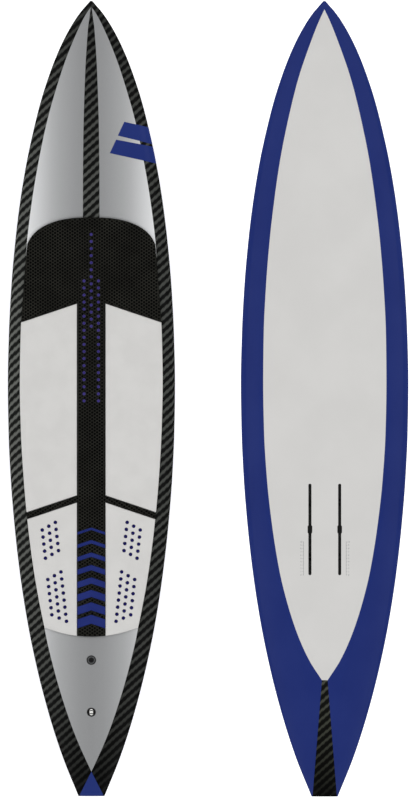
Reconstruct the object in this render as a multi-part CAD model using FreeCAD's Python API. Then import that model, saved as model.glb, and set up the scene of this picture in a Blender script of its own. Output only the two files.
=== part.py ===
"""Foil board for downwind foiling: a long narrow board, pointed at the nose and cut square at the tail.

A foam core is wrapped in a hull skin and a deck skin that meet along the rail. Printed inlays are let
into both skins, foam grip pads are glued to the deck, and two T-slot tracks under the hull hold the
four nuts that a foil mast bolts to. A vent plug and a leash plug are let into the tail of the deck.

Frame: X across the board, Y along it with the nose at -Y, Z up. The flat of the hull lies at Z = 0 and
the origin is in the middle of the board's length and width. Lengths are in millimetres. Places along
the board are shares of its length, counted from the nose tip.
"""

import FreeCAD
import Part
import math
import os

Vector = FreeCAD.Vector

# Overall sizes
length = 2413.0
width = 508.0
nose_height = 160.0
hull_nose_lift = 138.0
deck_middle_height = 138.0
deck_tail_height = 74.0
hull_tail_lift = 44.0
hull_flat_sink = 3.0
deck_crown = 8.0
chine_margin = 3.0
deck_edge_margin = 3.0
skin_thickness = 3.0
skin_end_thickness = 8.0
inlay_thickness = 0.6
overrun = 20.0

# Outlines seen from above: (share of the length, share of the half width)
outline_shares = [
    (0.0, 0.014), (0.0063, 0.066), (0.0126, 0.118), (0.0251, 0.203), (0.0503, 0.337),
    (0.0754, 0.442), (0.1006, 0.529), (0.1257, 0.604), (0.16, 0.687), (0.20, 0.770),
    (0.25, 0.850), (0.30, 0.909), (0.36, 0.959), (0.42, 0.988), (0.48, 1.0),
    (0.54, 0.992), (0.60, 0.966), (0.66, 0.920), (0.72, 0.855), (0.78, 0.767),
    (0.84, 0.650), (0.90, 0.501), (0.95, 0.347), (1.0, 0.156),
]
chine_shares = [
    (0.0, 0.004), (0.012, 0.007), (0.0251, 0.064), (0.0503, 0.158), (0.10, 0.318),
    (0.15, 0.435), (0.20, 0.530), (0.25, 0.600), (0.30, 0.655), (0.36, 0.701),
    (0.42, 0.728), (0.48, 0.734), (0.54, 0.724), (0.60, 0.690), (0.66, 0.627),
    (0.72, 0.533), (0.78, 0.398), (0.84, 0.245), (0.90, 0.150), (0.95, 0.100), (1.0, 0.070),
]
deck_edge_shares = [
    (0.0, 0.006), (0.006, 0.010), (0.0126, 0.038), (0.0251, 0.1065), (0.0503, 0.216),
    (0.0754, 0.310), (0.1006, 0.3895), (0.15, 0.524), (0.20, 0.625), (0.25, 0.7055),
    (0.30, 0.765), (0.36, 0.813), (0.42, 0.849), (0.48, 0.859), (0.54, 0.846),
    (0.60, 0.813), (0.66, 0.761), (0.72, 0.686), (0.78, 0.580), (0.84, 0.4465),
    (0.90, 0.2745), (0.95, 0.165), (1.0, 0.090),
]
hull_panel_tail_shares = [(0.754, 0.454), (0.779, 0.382), (0.8045, 0.293), (0.83, 0.178), (0.8535, 0.034)]
deck_inlay_tail_shares = [(0.93, 0.1675), (0.9553, 0.061)]
hull_panel_start_share = 0.0106
hull_panel_body_shares = (0.02, 0.73)
deck_inlay_start_share = 0.0075
deck_inlay_end_share = 0.969
deck_inlay_body_shares = (0.01, 0.905)

# Side view: (share of the length, share of the named height that the comment gives)
hull_nose_shares = [  # of the hull's lift at the nose tip
    (0.0, 1.0), (0.05, 0.765), (0.10, 0.562), (0.15, 0.393), (0.20, 0.258), (0.25, 0.156),
    (0.30, 0.083), (0.35, 0.034), (0.40, 0.0),
]
hull_flat_shares = [(0.36, 0.0), (0.44, 0.5), (0.50, 1.0), (0.70, 1.0), (0.76, 0.5), (0.82, 0.0)]
hull_tail_shares = [(0.78, 0.0), (0.84, 0.125), (0.90, 0.37), (0.95, 0.65), (1.0, 1.0)]
deck_front_shares = [  # from the deck's middle height, 0, to the height of the nose, 1
    (0.0, 1.0), (0.05, 0.90), (0.10, 0.76), (0.20, 0.48), (0.30, 0.27), (0.40, 0.11), (0.50, 0.0),
]
deck_rear_shares = [  # from the deck's middle height, 0, to the height of the tail, 1
    (0.50, 0.0), (0.60, 0.05), (0.70, 0.14), (0.80, 0.30), (0.90, 0.60), (1.0, 1.0),
]
crown_shares = [(0.0, 0.10), (0.05, 0.40), (0.15, 0.90), (0.30, 1.0), (0.70, 1.0), (0.90, 0.60), (1.0, 0.30)]
rail_middle_share = 0.52
rail_flat_share = 0.12
chine_pull_shares = (0.55, 0.22)
rail_pull_share = 0.5
section_shares = [
    0.0, 0.0045, 0.0126, 0.025, 0.05, 0.075, 0.10, 0.13, 0.16, 0.20, 0.25, 0.30, 0.36, 0.42, 0.48,
    0.54, 0.60, 0.66, 0.72, 0.78, 0.84, 0.88, 0.92, 0.96, 1.0,
]
core_front_share = 0.025

# Carbon left bare down the middle of the nose and the tail, and the coloured patch at the tail
nose_strip_half_width = 25.2
nose_strip_front_share = 0.009
nose_strip_shares = [  # (share of the strip's length, share of its half width)
    (0.0, 0.06), (0.021, 0.137), (0.043, 0.20), (0.083, 0.35), (0.16, 0.505), (0.28, 0.69), (0.44, 0.84),
    (0.6, 0.94), (0.8, 0.99), (1.0, 1.0),
]
tail_strip_front_share = 0.8535
tail_strip_front_half_width = 8.7
tail_strip_rear_half_width = 37.0
tail_patch_half_width = 37.5
tail_patch_gap = 1.5

# Grip pads
pad_thickness = 5.0
pad_glue_thickness = 0.3
pad_gap = 1.2
pad_edge_margin = 1.5
pad_front_share = 0.2719
arch_half_width = 200.5
arch_depth = 126.0
arch_fullness_share = 0.815
arch_steps = 12
grip_half_width = 42.5
pad_rake_share = 0.337
front_pad_top_share = 0.3799
front_pad_bottom_share = 0.6216
bar_width = 19.8
pad_tail_share = 0.7988
pad_tail_radius = 372.0
edge_steps = 14

# Coloured foam let into the pads: chevrons behind the bars, and dots
inset_gap = 0.25
chevron_count = 8
chevron_first_share = 0.6616
chevron_spacing = 37.8
chevron_first_width = 7.6
chevron_width_step = 2.8
dot_spacing = 21.4
middle_dot_radius = 4.5
side_dot_offset = 21.8
middle_dot_count = 14
side_dot_count = 18
middle_dots_share = 0.2933
side_dots_share = 0.3517
heel_dot_radius = 5.2
dot_column_lean = 2.4
dot_column_spacing = 19.8
dot_column_rise = 11.6
front_cluster_share = 0.6647
front_cluster_offset = 148.5
front_cluster_counts = (5, 5, 5)
rear_cluster_share = 0.7270
rear_cluster_offset = 131.6
rear_cluster_counts = (6, 7, 8)

# Stiff sheet under the deck skin, where the rider stands
standing_sheet_thickness = 4.0
standing_sheet_inset = 12.0

# Foil tracks and their nuts
track_share = 0.6644
track_spacing = 90.0
nut_spacing = 165.0
slot_reach = 56.0
slot_width = 9.3
entry_corner_radius = 4.0
lip_thickness = 5.0
channel_width = 14.2
channel_height = 8.0
bolt_groove_height = 8.0
track_wall = 6.0
track_top_wall = 4.0
nut_length = 22.0
nut_end_clearance = 1.5
nut_side_clearance = 0.4
nut_lip_clearance = 0.2
nut_head_clearance = 0.6
nut_edge_chamfer = 1.2
nut_thread_radius = 3.4
block_end_margin = 30.0
block_side_margin = 37.0

# Vent plug
vent_share = 0.8284
vent_flange_radius = 14.2
vent_flange_width = 1.5
vent_flange_proud = 0.8
vent_flange_seat = 1.6
vent_wall = 1.3
vent_head_clearance = 0.3
vent_head_height = 6.2
vent_head_seat_gap = 0.4
vent_socket_width = 12.0
vent_socket_depth = 4.4
vent_head_chamfer = 0.6
vent_shank_radius = 5.9
vent_shank_clearance = 0.08
vent_shank_length = 9.0
vent_end_gap = 0.3
vent_seal_section_radius = 1.0
vent_seal_gap = 0.15
vent_groove_clearance = 0.3
vent_filter_radius = 7.5
vent_filter_clearance = 0.1
vent_filter_thickness = 0.6
vent_filter_ring_height = 1.4
vent_filter_ring_wall = 2.0

# Leash plug
leash_share = 0.894
leash_radius = 13.4
leash_proud = 0.6
leash_wall = 3.9
leash_well_width = 10.4
leash_well_depth = 16.0
leash_floor = 3.0
leash_liner_wall = 0.6
leash_liner_top = 1.2
leash_pin_radius = 1.5
leash_pin_offset = 4.7
leash_pin_depth = 3.4
leash_pin_grip = 3.7
leash_block_margin = 18.6

half_width = width / 2
tall = nose_height + overrun


def curve(points):
    """A smooth curve through the points that never overshoots them, as a function."""
    at = [p[0] for p in points]
    value = [p[1] for p in points]
    count = len(points)
    steps = [at[i + 1] - at[i] for i in range(count - 1)]
    slopes = [(value[i + 1] - value[i]) / steps[i] for i in range(count - 1)]
    tangents = [slopes[0]]
    for i in range(1, count - 1):
        before, after = slopes[i - 1], slopes[i]
        if before * after <= 0:
            tangents.append(0.0)
        else:
            first = 2 * steps[i] + steps[i - 1]
            second = steps[i] + 2 * steps[i - 1]
            tangents.append((first + second) / (first / before + second / after))
    tangents.append(slopes[-1])

    def evaluate(place):
        if place <= at[0]:
            return value[0]
        if place >= at[-1]:
            return value[-1]
        i = max(k for k in range(count - 1) if at[k] <= place)
        t = (place - at[i]) / steps[i]
        rise = value[i] + (value[i + 1] - value[i]) * t * t * (3 - 2 * t)
        lean = tangents[i] * t * (1 - t) ** 2 - tangents[i + 1] * t * t * (1 - t)
        return rise + lean * steps[i]

    return evaluate


outline = curve(outline_shares)
chine = curve(chine_shares)
deck_edge = curve(deck_edge_shares)
hull_nose = curve(hull_nose_shares)
hull_flat = curve(hull_flat_shares)
hull_tail = curve(hull_tail_shares)
deck_front = curve(deck_front_shares)
deck_rear = curve(deck_rear_shares)
crown = curve(crown_shares)
hull_panel = curve([p for p in chine_shares if p[0] < hull_panel_body_shares[1]] + hull_panel_tail_shares)
deck_inlay_edge = curve(
    [p for p in deck_edge_shares if p[0] < deck_inlay_body_shares[1]] + deck_inlay_tail_shares
)


def place(share):
    """The Y of a share of the length, counted from the nose tip."""
    return share * length - length / 2


def share_at(y):
    return (y + length / 2) / length


def hull_height(share):
    """Height of the hull's centre line, before the flat is cut."""
    lift = hull_nose_lift * hull_nose(share) + hull_tail_lift * hull_tail(share)
    return lift - hull_flat_sink * hull_flat(share)


def deck_height(share):
    """Height of the deck's edge."""
    front = (nose_height - deck_middle_height) * deck_front(share)
    rear = (deck_middle_height - deck_tail_height) * deck_rear(share)
    return deck_middle_height + front - rear


def deck_top(share):
    """Height of the deck's centre line."""
    return deck_height(share) + deck_crown * crown(share)


def rail_height(share):
    """Height at which the hull skin and the deck skin meet."""
    low = hull_height(share)
    return low + (deck_height(share) - low) * rail_middle_share


def half_section(share, inset):
    """Points of the right half of a cross-section, from the hull's middle up to the deck's edge."""
    wide = outline(share)
    rail = half_width * wide - inset
    bottom = min(half_width * chine(share) + chine_margin * wide, rail - inset / 2)
    top = min(half_width * deck_edge(share) + deck_edge_margin * wide, rail - inset / 2)
    low = hull_height(share) + inset
    high = deck_height(share) - inset
    middle = rail_height(share)
    flat = (deck_height(share) - hull_height(share)) * rail_flat_share / 2
    return rail, bottom, top, low, high, middle - flat, middle + flat


def section(share, inset):
    """The closed wire of one cross-section."""
    y = place(share)
    rail, bottom, top, low, high, rail_low, rail_high = half_section(share, inset)
    lift = deck_crown * crown(share)
    reach = (rail - top) * rail_pull_share

    def edge_line(start, end):
        return Part.LineSegment(Vector(start[0], y, start[1]), Vector(end[0], y, end[1])).toShape()

    def bezier(points):
        edge = Part.BezierCurve()
        edge.setPoles([Vector(x, y, z) for x, z in points])
        return edge.toShape()

    lower = [
        (bottom, low),
        (bottom + (rail - bottom) * chine_pull_shares[0], low + (rail_low - low) * chine_pull_shares[1]),
        (rail, rail_low - (rail_low - low) * rail_pull_share),
        (rail, rail_low),
    ]
    upper = [
        (rail, rail_high),
        (rail, rail_high + (high - rail_high) * rail_pull_share),
        (top + reach, high - reach * 2 * lift / top),
        (top, high),
    ]
    deck = [(top, high), (0, high + 2 * lift), (-top, high)]

    def mirrored(points):
        return [(-x, z) for x, z in reversed(points)]

    return Part.Wire([
        edge_line((-bottom, low), (bottom, low)),
        bezier(lower),
        edge_line((rail, rail_low), (rail, rail_high)),
        bezier(upper),
        bezier(deck),
        bezier(mirrored(upper)),
        edge_line((-rail, rail_high), (-rail, rail_low)),
        bezier(mirrored(lower)),
    ])


def form(shares, inset):
    """The board's closed form, drawn in by the inset, with the flat of the hull cut level."""
    body = Part.makeLoft([section(s, inset) for s in shares], True, False)
    keep = Part.makeBox(2 * width, 2 * length, 2 * tall, Vector(-width, -length, inset))
    return body.common(keep)


def moved(shape, x=0.0, y=0.0, z=0.0):
    copy = shape.copy()
    copy.translate(Vector(x, y, z))
    return copy


def mirrored_in_x(shape):
    return shape.mirror(Vector(0, 0, 0), Vector(1, 0, 0))


def prism(edges):
    """A tall upright solid over a closed outline of edges in the plane Z = 0."""
    face = Part.Face(Part.Wire(edges))
    return moved(face, z=-tall).extrude(Vector(0, 0, 3 * tall))


def line(start, end):
    return Part.LineSegment(Vector(*start, 0), Vector(*end, 0)).toShape()


def polygon(points):
    return [line(points[i - 1], points[i]) for i in range(len(points))]


def smooth(points):
    spline = Part.BSplineCurve()
    spline.interpolate([Vector(x, y, 0) for x, y in points])
    return spline.toShape()


def flipped(points):
    return [(-x, y) for x, y in reversed(points)]


def between(first, last, count):
    """Evenly spaced values from first to last."""
    return [first + (last - first) * i / count for i in range(count + 1)]


def both_sides(points):
    """Outline through points on the right side, from nose to tail, and back along the left side."""
    left = flipped(points)
    edges = [smooth(points)]
    if points[-1][0] > 0:
        edges.append(line(points[-1], left[0]))
    edges.append(smooth(left))
    if points[0][0] > 0:
        edges.append(line(left[-1], points[0]))
    return edges


save_folder = "parts"
os.makedirs(save_folder, exist_ok=True)


def save(name, shape):
    """Writes one sub-part as STEP, as a compound if it has several solids."""
    solids = shape.Solids
    whole = solids[0] if len(solids) == 1 else Part.makeCompound(solids)
    whole.exportStep(os.path.join(save_folder, name + ".step"))
    print(name, "solids:", len(solids), "volume:", round(whole.Volume), "valid:", whole.isValid())


# Board form, core and skins

def make_skins():
    outer = form(section_shares, 0.0)
    rear_share = 1 - skin_end_thickness / length
    inner_shares = [s for s in section_shares if core_front_share <= s < rear_share] + [rear_share]
    inner = form(inner_shares, skin_thickness)
    split = between(-overrun / length, 1 + overrun / length, 2 * len(section_shares))
    top_line = smooth([(place(s), rail_height(min(max(s, 0.0), 1.0))) for s in split])
    first, last = top_line.Vertexes[0].Point, top_line.Vertexes[-1].Point
    below = Part.Wire([
        top_line,
        line((last.x, last.y), (last.x, -tall)),
        line((last.x, -tall), (first.x, -tall)),
        line((first.x, -tall), (first.x, first.y)),
    ])
    face = Part.Face(below)
    upright = FreeCAD.Placement(
        Vector(-width, 0, 0), FreeCAD.Rotation(Vector(0, 1, 0), Vector(0, 0, 1), Vector(1, 0, 0))
    )
    face.Placement = upright
    lower_half = face.extrude(Vector(2 * width, 0, 0))
    skin = outer.cut(inner)
    return outer, inner, skin.common(lower_half), skin.cut(lower_half)


def inlay_side(edge, start_share, body_shares, tail_shares):
    """Points down the right-hand edge of an inlay that starts in a point on the centre line."""
    shares = [s for s in section_shares if body_shares[0] < s < body_shares[1]]
    shares += [p[0] for p in tail_shares]
    return [(0.0, place(start_share))] + [(half_width * edge(s), place(s)) for s in shares]


def make_hull_inlays(outer):
    """Printed inlay over the hull's running surface, and the bare carbon strip from it to the tail."""
    side = inlay_side(hull_panel, hull_panel_start_share, hull_panel_body_shares, hull_panel_tail_shares)
    layer = outer.cut(moved(outer, z=inlay_thickness))
    inlay = layer.common(prism(both_sides(side)))
    front, rear = place(tail_strip_front_share), place(1.0) + overrun
    spread = (tail_strip_rear_half_width - tail_strip_front_half_width) / (place(1.0) - front)
    rear_half = tail_strip_front_half_width + spread * (rear - front)
    corners = [
        (tail_strip_front_half_width, front), (rear_half, rear),
        (-rear_half, rear), (-tail_strip_front_half_width, front),
    ]
    return inlay, layer.common(prism(polygon(corners))).cut(inlay)


def make_deck_inlays(outer):
    """Printed inlay inside the rail bands, the bare strip on the nose and the patch at the tail."""
    side = inlay_side(deck_inlay_edge, deck_inlay_start_share, deck_inlay_body_shares, deck_inlay_tail_shares)
    side.append((0.0, place(deck_inlay_end_share)))
    layer = outer.cut(moved(outer, z=-inlay_thickness))
    front, rear = place(nose_strip_front_share), place(pad_front_share)
    strip_side = [
        (nose_strip_half_width * wide, front + (rear - front) * at) for at, wide in nose_strip_shares
    ]
    strip = layer.common(prism(both_sides(strip_side)))
    inlay = layer.common(prism(both_sides(side))).cut(strip)
    tip, end = place(deck_inlay_end_share) + tail_patch_gap, place(1.0) + overrun
    reach = tail_patch_half_width * (end - tip) / (place(1.0) - tip)
    patch = layer.common(prism(polygon([(0, tip), (reach, end), (-reach, end)])))
    return inlay, strip, patch


# Grip pads

def pad_edge(share):
    """Half width of the pads, just inside the inlay's edge."""
    return half_width * deck_inlay_edge(share) - pad_edge_margin


def pad_field(inset):
    """Outline of the whole pad area: arched front, sides along the rail bands, round tail end."""
    front = place(pad_front_share) + inset
    arch_end = front + arch_depth
    arch = []
    for turn in between(0.0, math.pi / 2, arch_steps):
        x = (arch_half_width - inset) * math.sin(turn) ** arch_fullness_share
        y = arch_end - arch_depth * math.cos(turn) ** arch_fullness_share
        arch.append((min(x, pad_edge(share_at(y)) - inset), y))
    rear_middle = place(pad_tail_share) - inset
    corner_x = pad_edge(share_at(rear_middle)) - inset
    drop = pad_tail_radius - math.sqrt(pad_tail_radius ** 2 - corner_x ** 2)
    corner = (corner_x, rear_middle - drop)
    sides = between(arch_end, corner[1], edge_steps)
    side = [(pad_edge(share_at(y)) - inset, y) for y in sides[1:-1]] + [corner]
    right = arch + side
    tail = Part.Arc(
        Vector(corner[0], corner[1], 0), Vector(0, rear_middle, 0), Vector(-corner[0], corner[1], 0)
    ).toShape()
    return [smooth(right), tail, smooth(flipped(right))]


def raked_area(top, bottom, inner):
    """The area on the left between two raked lines, from x = inner out past the rail."""
    drop = (half_width - inner) * pad_rake_share
    corners = [(inner, top), (half_width, top + drop), (half_width, bottom + drop), (inner, bottom)]
    return prism(polygon(corners))


def chevron(index, gap):
    """A chevron across the middle grip, widened by a gap. Each is wider than the one in front."""
    top = place(chevron_first_share) + chevron_spacing * index - gap
    thick = chevron_first_width + chevron_width_step * index + 2 * gap
    half = grip_half_width + gap
    drop = half * pad_rake_share
    corners = [
        (0, top), (half, top + drop), (half, top + drop + thick),
        (0, top + thick), (-half, top + drop + thick), (-half, top + drop),
    ]
    return prism(polygon(corners))


def chevrons(gap):
    return Part.makeCompound([chevron(i, gap) for i in range(chevron_count)])


seam_turns = (0, 40, 80)


def dot(spot, radius, turn=0):
    """An upright rod at a spot, with its seam turned by so many degrees."""
    rod = Part.makeCylinder(radius, 3 * tall)
    rod.rotate(Vector(0, 0, 0), Vector(0, 0, 1), turn)
    return moved(rod, x=spot[0], y=spot[1], z=-tall)


def punched(pad, spots, radius):
    """The pad with a round hole at each spot. Where a rod's seam spoils a cut, the next turn makes it."""
    for spot in spots:
        for turn in seam_turns:
            cut = pad.cut(dot(spot, radius, turn))
            if len(cut.Faces) > len(pad.Faces):
                break
        pad = cut
    return pad


def dots_of(pad, spots, radius):
    """The round pieces that fill a pad's holes."""
    return Part.makeCompound([pad.common(dot(spot, radius)) for spot in spots])


def middle_dot_spots():
    """Three rows of dots along the middle grip: a short one down the centre, and one each side."""
    spots = [(0, place(middle_dots_share) + dot_spacing * i) for i in range(middle_dot_count)]
    for x in (-side_dot_offset, side_dot_offset):
        spots += [(x, place(side_dots_share) + dot_spacing * i) for i in range(side_dot_count)]
    return spots


def heel_dot_spots():
    """Two raked clusters of dots on the left rear pad."""
    spots = []
    clusters = (
        (front_cluster_share, front_cluster_offset, front_cluster_counts),
        (rear_cluster_share, rear_cluster_offset, rear_cluster_counts),
    )
    for share, offset, counts in clusters:
        for column, count in enumerate(counts):
            for row in range(count):
                x = offset - dot_column_spacing * column - dot_column_lean * row
                y = place(share) - dot_column_rise * column + dot_spacing * row
                spots.append((x, y))
    return spots


def make_pads(outer):
    """The grip pads: a black middle with an arch, a strip and two bars, and four foot pads."""
    deck = moved(outer, z=pad_glue_thickness)
    layer = moved(deck, z=pad_thickness).common(prism(pad_field(0.0))).cut(deck)
    inner = grip_half_width
    bar_top, end = place(front_pad_bottom_share), place(1.0)
    bar_bottom = bar_top + bar_width
    front_top = place(front_pad_top_share)
    middle = layer
    for space in (raked_area(front_top, bar_top, inner), raked_area(bar_bottom, end, inner)):
        middle = middle.cut(space).cut(mirrored_in_x(space))
    front = layer.common(raked_area(front_top + pad_gap, bar_top - pad_gap, inner + pad_gap))
    rear = layer.common(raked_area(bar_bottom + pad_gap, end, inner + pad_gap))
    rear_pad = punched(rear, heel_dot_spots(), heel_dot_radius + inset_gap)
    rear_dots = dots_of(rear, heel_dot_spots(), heel_dot_radius)
    middle_pad = punched(middle, middle_dot_spots(), middle_dot_radius + inset_gap).cut(chevrons(inset_gap))
    islands = sorted(middle_pad.Solids, key=lambda s: s.Volume)
    return {
        "middle_grip_pad": islands[-1],
        "middle_grip_islands": Part.makeCompound(islands[:-1]),
        "middle_grip_chevrons": middle.common(chevrons(0.0)),
        "middle_grip_dots": dots_of(middle, middle_dot_spots(), middle_dot_radius),
        "front_foot_pad_left": front,
        "front_foot_pad_right": mirrored_in_x(front),
        "rear_foot_pad_left": rear_pad,
        "rear_foot_pad_right": mirrored_in_x(rear_pad),
        "rear_pad_dots_left": rear_dots,
        "rear_pad_dots_right": mirrored_in_x(rear_dots),
    }


def make_standing_sheet(inner):
    """Stiff foam sheet under the deck skin, below the whole pad area."""
    zone = prism(pad_field(standing_sheet_inset))
    return inner.common(zone).cut(moved(inner, z=-standing_sheet_thickness))


# Foil tracks

def block(x, y, z, size_x, size_y, size_z):
    """A box centred on x and y, standing on z."""
    return Part.makeBox(size_x, size_y, size_z, Vector(x - size_x / 2, y - size_y / 2, z))


def stadium(x, y, long, wide_across, low, high):
    """An upright slot solid with round ends, long in Y."""
    radius = wide_across / 2
    straight = long - wide_across
    box = block(x, y, low, wide_across, straight, high - low)
    ends = [
        Part.makeCylinder(radius, high - low, Vector(x, y + side * straight / 2, low)) for side in (-1, 1)
    ]
    return box.fuse(ends).removeSplitter()


track_y = place(track_share)
track_x = track_spacing / 2
lip_top = skin_thickness + lip_thickness
channel_top = lip_top + channel_height
groove_top = channel_top + bolt_groove_height
slot_length = nut_spacing + 2 * slot_reach
channel_length = slot_length + channel_width - slot_width
track_outer_width = channel_width + 2 * track_wall
track_outer_length = channel_length + 2 * track_wall
entry_length = nut_length + 2 * nut_end_clearance


def upright_edges(shape):
    """The edges of a block that run straight up it."""
    flat = shape.BoundBox.ZLength / 2
    return [e for e in shape.Edges if abs(e.Vertexes[0].Z - e.Vertexes[1].Z) > flat]


def slot_opening(x):
    """The open slot through the hull and the lips, with the wide entry for the nuts in its middle."""
    neck = stadium(x, track_y, slot_length, slot_width, -overrun, lip_top)
    entry = block(x, track_y, -overrun, channel_width, entry_length, lip_top + overrun)
    entry = entry.makeFillet(entry_corner_radius, upright_edges(entry))
    return neck.fuse(entry).removeSplitter()


def make_track(x):
    """One T-slot track: lips below, a channel for the nuts, and a groove for the bolt ends."""
    body = block(x, track_y, skin_thickness, track_outer_width, track_outer_length,
                 groove_top + track_top_wall - skin_thickness)
    channel = stadium(x, track_y, channel_length, channel_width, lip_top, channel_top)
    groove = stadium(x, track_y, slot_length, slot_width, channel_top, groove_top)
    return body.cut(slot_opening(x)).cut(channel).cut(groove), body


def make_nut(x, y):
    """A nut that slides in the channel: a block with a plain hole at its thread's core size."""
    bottom = lip_top + nut_lip_clearance
    thick = channel_top - nut_head_clearance - bottom
    nut = block(x, y, bottom, channel_width - 2 * nut_side_clearance, nut_length, thick)
    nut = nut.makeChamfer(nut_edge_chamfer, upright_edges(nut))
    hole = Part.makeCylinder(nut_thread_radius, thick + 2 * overrun, Vector(x, y, bottom - overrun))
    return nut.cut(hole)


# Plugs in the tail deck

def deck_frame(share):
    """Where a plug sits: on the deck's centre line, square to its slope."""
    step = overrun / length
    rise = deck_top(share + step) - deck_top(share - step)
    slope = math.atan2(rise, 2 * overrun)
    rotation = FreeCAD.Rotation(Vector(1, 0, 0), math.degrees(slope))
    return FreeCAD.Placement(Vector(0, place(share), deck_top(share)), rotation)


def on_deck(shape, share):
    placed = shape.copy()
    placed.Placement = deck_frame(share)
    return placed


def disc(radius, low, high):
    return Part.makeCylinder(radius, high - low, Vector(0, 0, low))


def hexagon(across, low, high):
    corner = across / math.sqrt(3)
    points = [
        Vector(corner * math.cos(math.pi / 3 * i), corner * math.sin(math.pi / 3 * i), low) for i in range(7)
    ]
    return Part.Face(Part.makePolygon(points)).extrude(Vector(0, 0, high - low))


def make_vent():
    """Vent plug parts in their own frame, with the deck's surface at Z = 0."""
    head_top = vent_flange_proud
    head_bottom = head_top - vent_head_height
    recess_floor = head_bottom - vent_head_seat_gap
    shank_end = head_bottom - vent_shank_length
    filter_top = shank_end - vent_end_gap
    filter_bottom = filter_top - vent_filter_thickness
    ring_bottom = filter_bottom - vent_filter_ring_height
    body_radius = vent_flange_radius - vent_flange_width
    recess_radius = body_radius - vent_wall
    head_radius = recess_radius - vent_head_clearance
    seal_radius = vent_shank_radius + vent_seal_gap + vent_seal_section_radius
    seal_middle = head_bottom - vent_seal_gap - vent_seal_section_radius
    groove_radius = seal_radius + vent_seal_section_radius + vent_groove_clearance
    groove_floor = seal_middle - vent_seal_section_radius - vent_groove_clearance

    envelope = disc(vent_flange_radius, -vent_flange_seat, head_top)
    envelope = envelope.fuse(disc(body_radius, ring_bottom, -vent_flange_seat)).removeSplitter()
    housing = envelope.cut(disc(recess_radius, recess_floor, head_top + overrun))
    housing = housing.cut(disc(groove_radius, groove_floor, recess_floor))
    housing = housing.cut(disc(vent_shank_radius + vent_shank_clearance, filter_top, groove_floor))
    housing = housing.cut(disc(vent_filter_radius + vent_filter_clearance, ring_bottom, filter_top))

    head = disc(head_radius, head_bottom, head_top)
    rim = [e for e in head.Edges if e.BoundBox.ZMin > head_bottom + vent_head_height / 2]
    head = head.makeChamfer(vent_head_chamfer, rim)
    screw = head.fuse(disc(vent_shank_radius, shank_end, head_bottom)).removeSplitter()
    screw = screw.cut(hexagon(vent_socket_width, head_top - vent_socket_depth, head_top + overrun))

    ring = disc(vent_filter_radius, ring_bottom, filter_bottom)
    ring = ring.cut(disc(vent_filter_radius - vent_filter_ring_wall, ring_bottom, filter_bottom))
    parts = {
        "vent_housing": housing,
        "vent_screw": screw,
        "vent_seal": Part.makeTorus(seal_radius, vent_seal_section_radius, Vector(0, 0, seal_middle)),
        "vent_filter": disc(vent_filter_radius, filter_bottom, filter_top),
        "vent_filter_ring": ring,
    }
    return parts, envelope


def make_leash_plug():
    """Leash plug parts in their own frame, with the deck's surface at Z = 0."""
    floor = leash_proud - leash_well_depth
    envelope = disc(leash_radius, floor - leash_floor, leash_proud)
    well_length = 2 * (leash_radius - leash_wall)
    well = stadium(0, 0, well_length, leash_well_width, floor, leash_proud + overrun)
    space_length = well_length - 2 * leash_liner_wall
    space_width = leash_well_width - 2 * leash_liner_wall
    space = stadium(0, 0, space_length, space_width, floor + leash_liner_wall, leash_proud + overrun)
    pin_height = leash_proud - leash_pin_depth
    pin_end = leash_well_width / 2 + leash_pin_grip
    across = Vector(1, 0, 0)
    ends = [Vector(-pin_end, y, pin_height) for y in (-leash_pin_offset, leash_pin_offset)]
    pins = Part.makeCompound([Part.makeCylinder(leash_pin_radius, 2 * pin_end, end, across) for end in ends])
    cup = envelope.cut(well).cut(pins)
    liner = stadium(0, 0, well_length, leash_well_width, floor, leash_proud - leash_liner_top)
    liner = liner.cut(space).cut(pins)
    return {"leash_cup": cup, "leash_cup_liner": liner, "leash_pins": pins}, envelope


def split_hull(skin, panel_width, panel_length):
    """The hull skin in five: the track panel, and the skin to its left and right, ahead and behind."""
    panel_space = block(0, track_y, -tall, panel_width, panel_length, 3 * tall)
    belt = block(0, track_y, -tall, 2 * width, panel_length, 3 * tall)
    right, left = sorted(skin.common(belt).cut(panel_space).Solids, key=lambda s: s.CenterOfMass.x)
    front, rear = sorted(skin.cut(belt).Solids, key=lambda s: s.CenterOfMass.y)
    return {
        "track_panel": skin.common(panel_space),
        "hull_skin_front": front,
        "hull_skin_rear": rear,
        "hull_skin_left": left,
        "hull_skin_right": right,
    }


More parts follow.
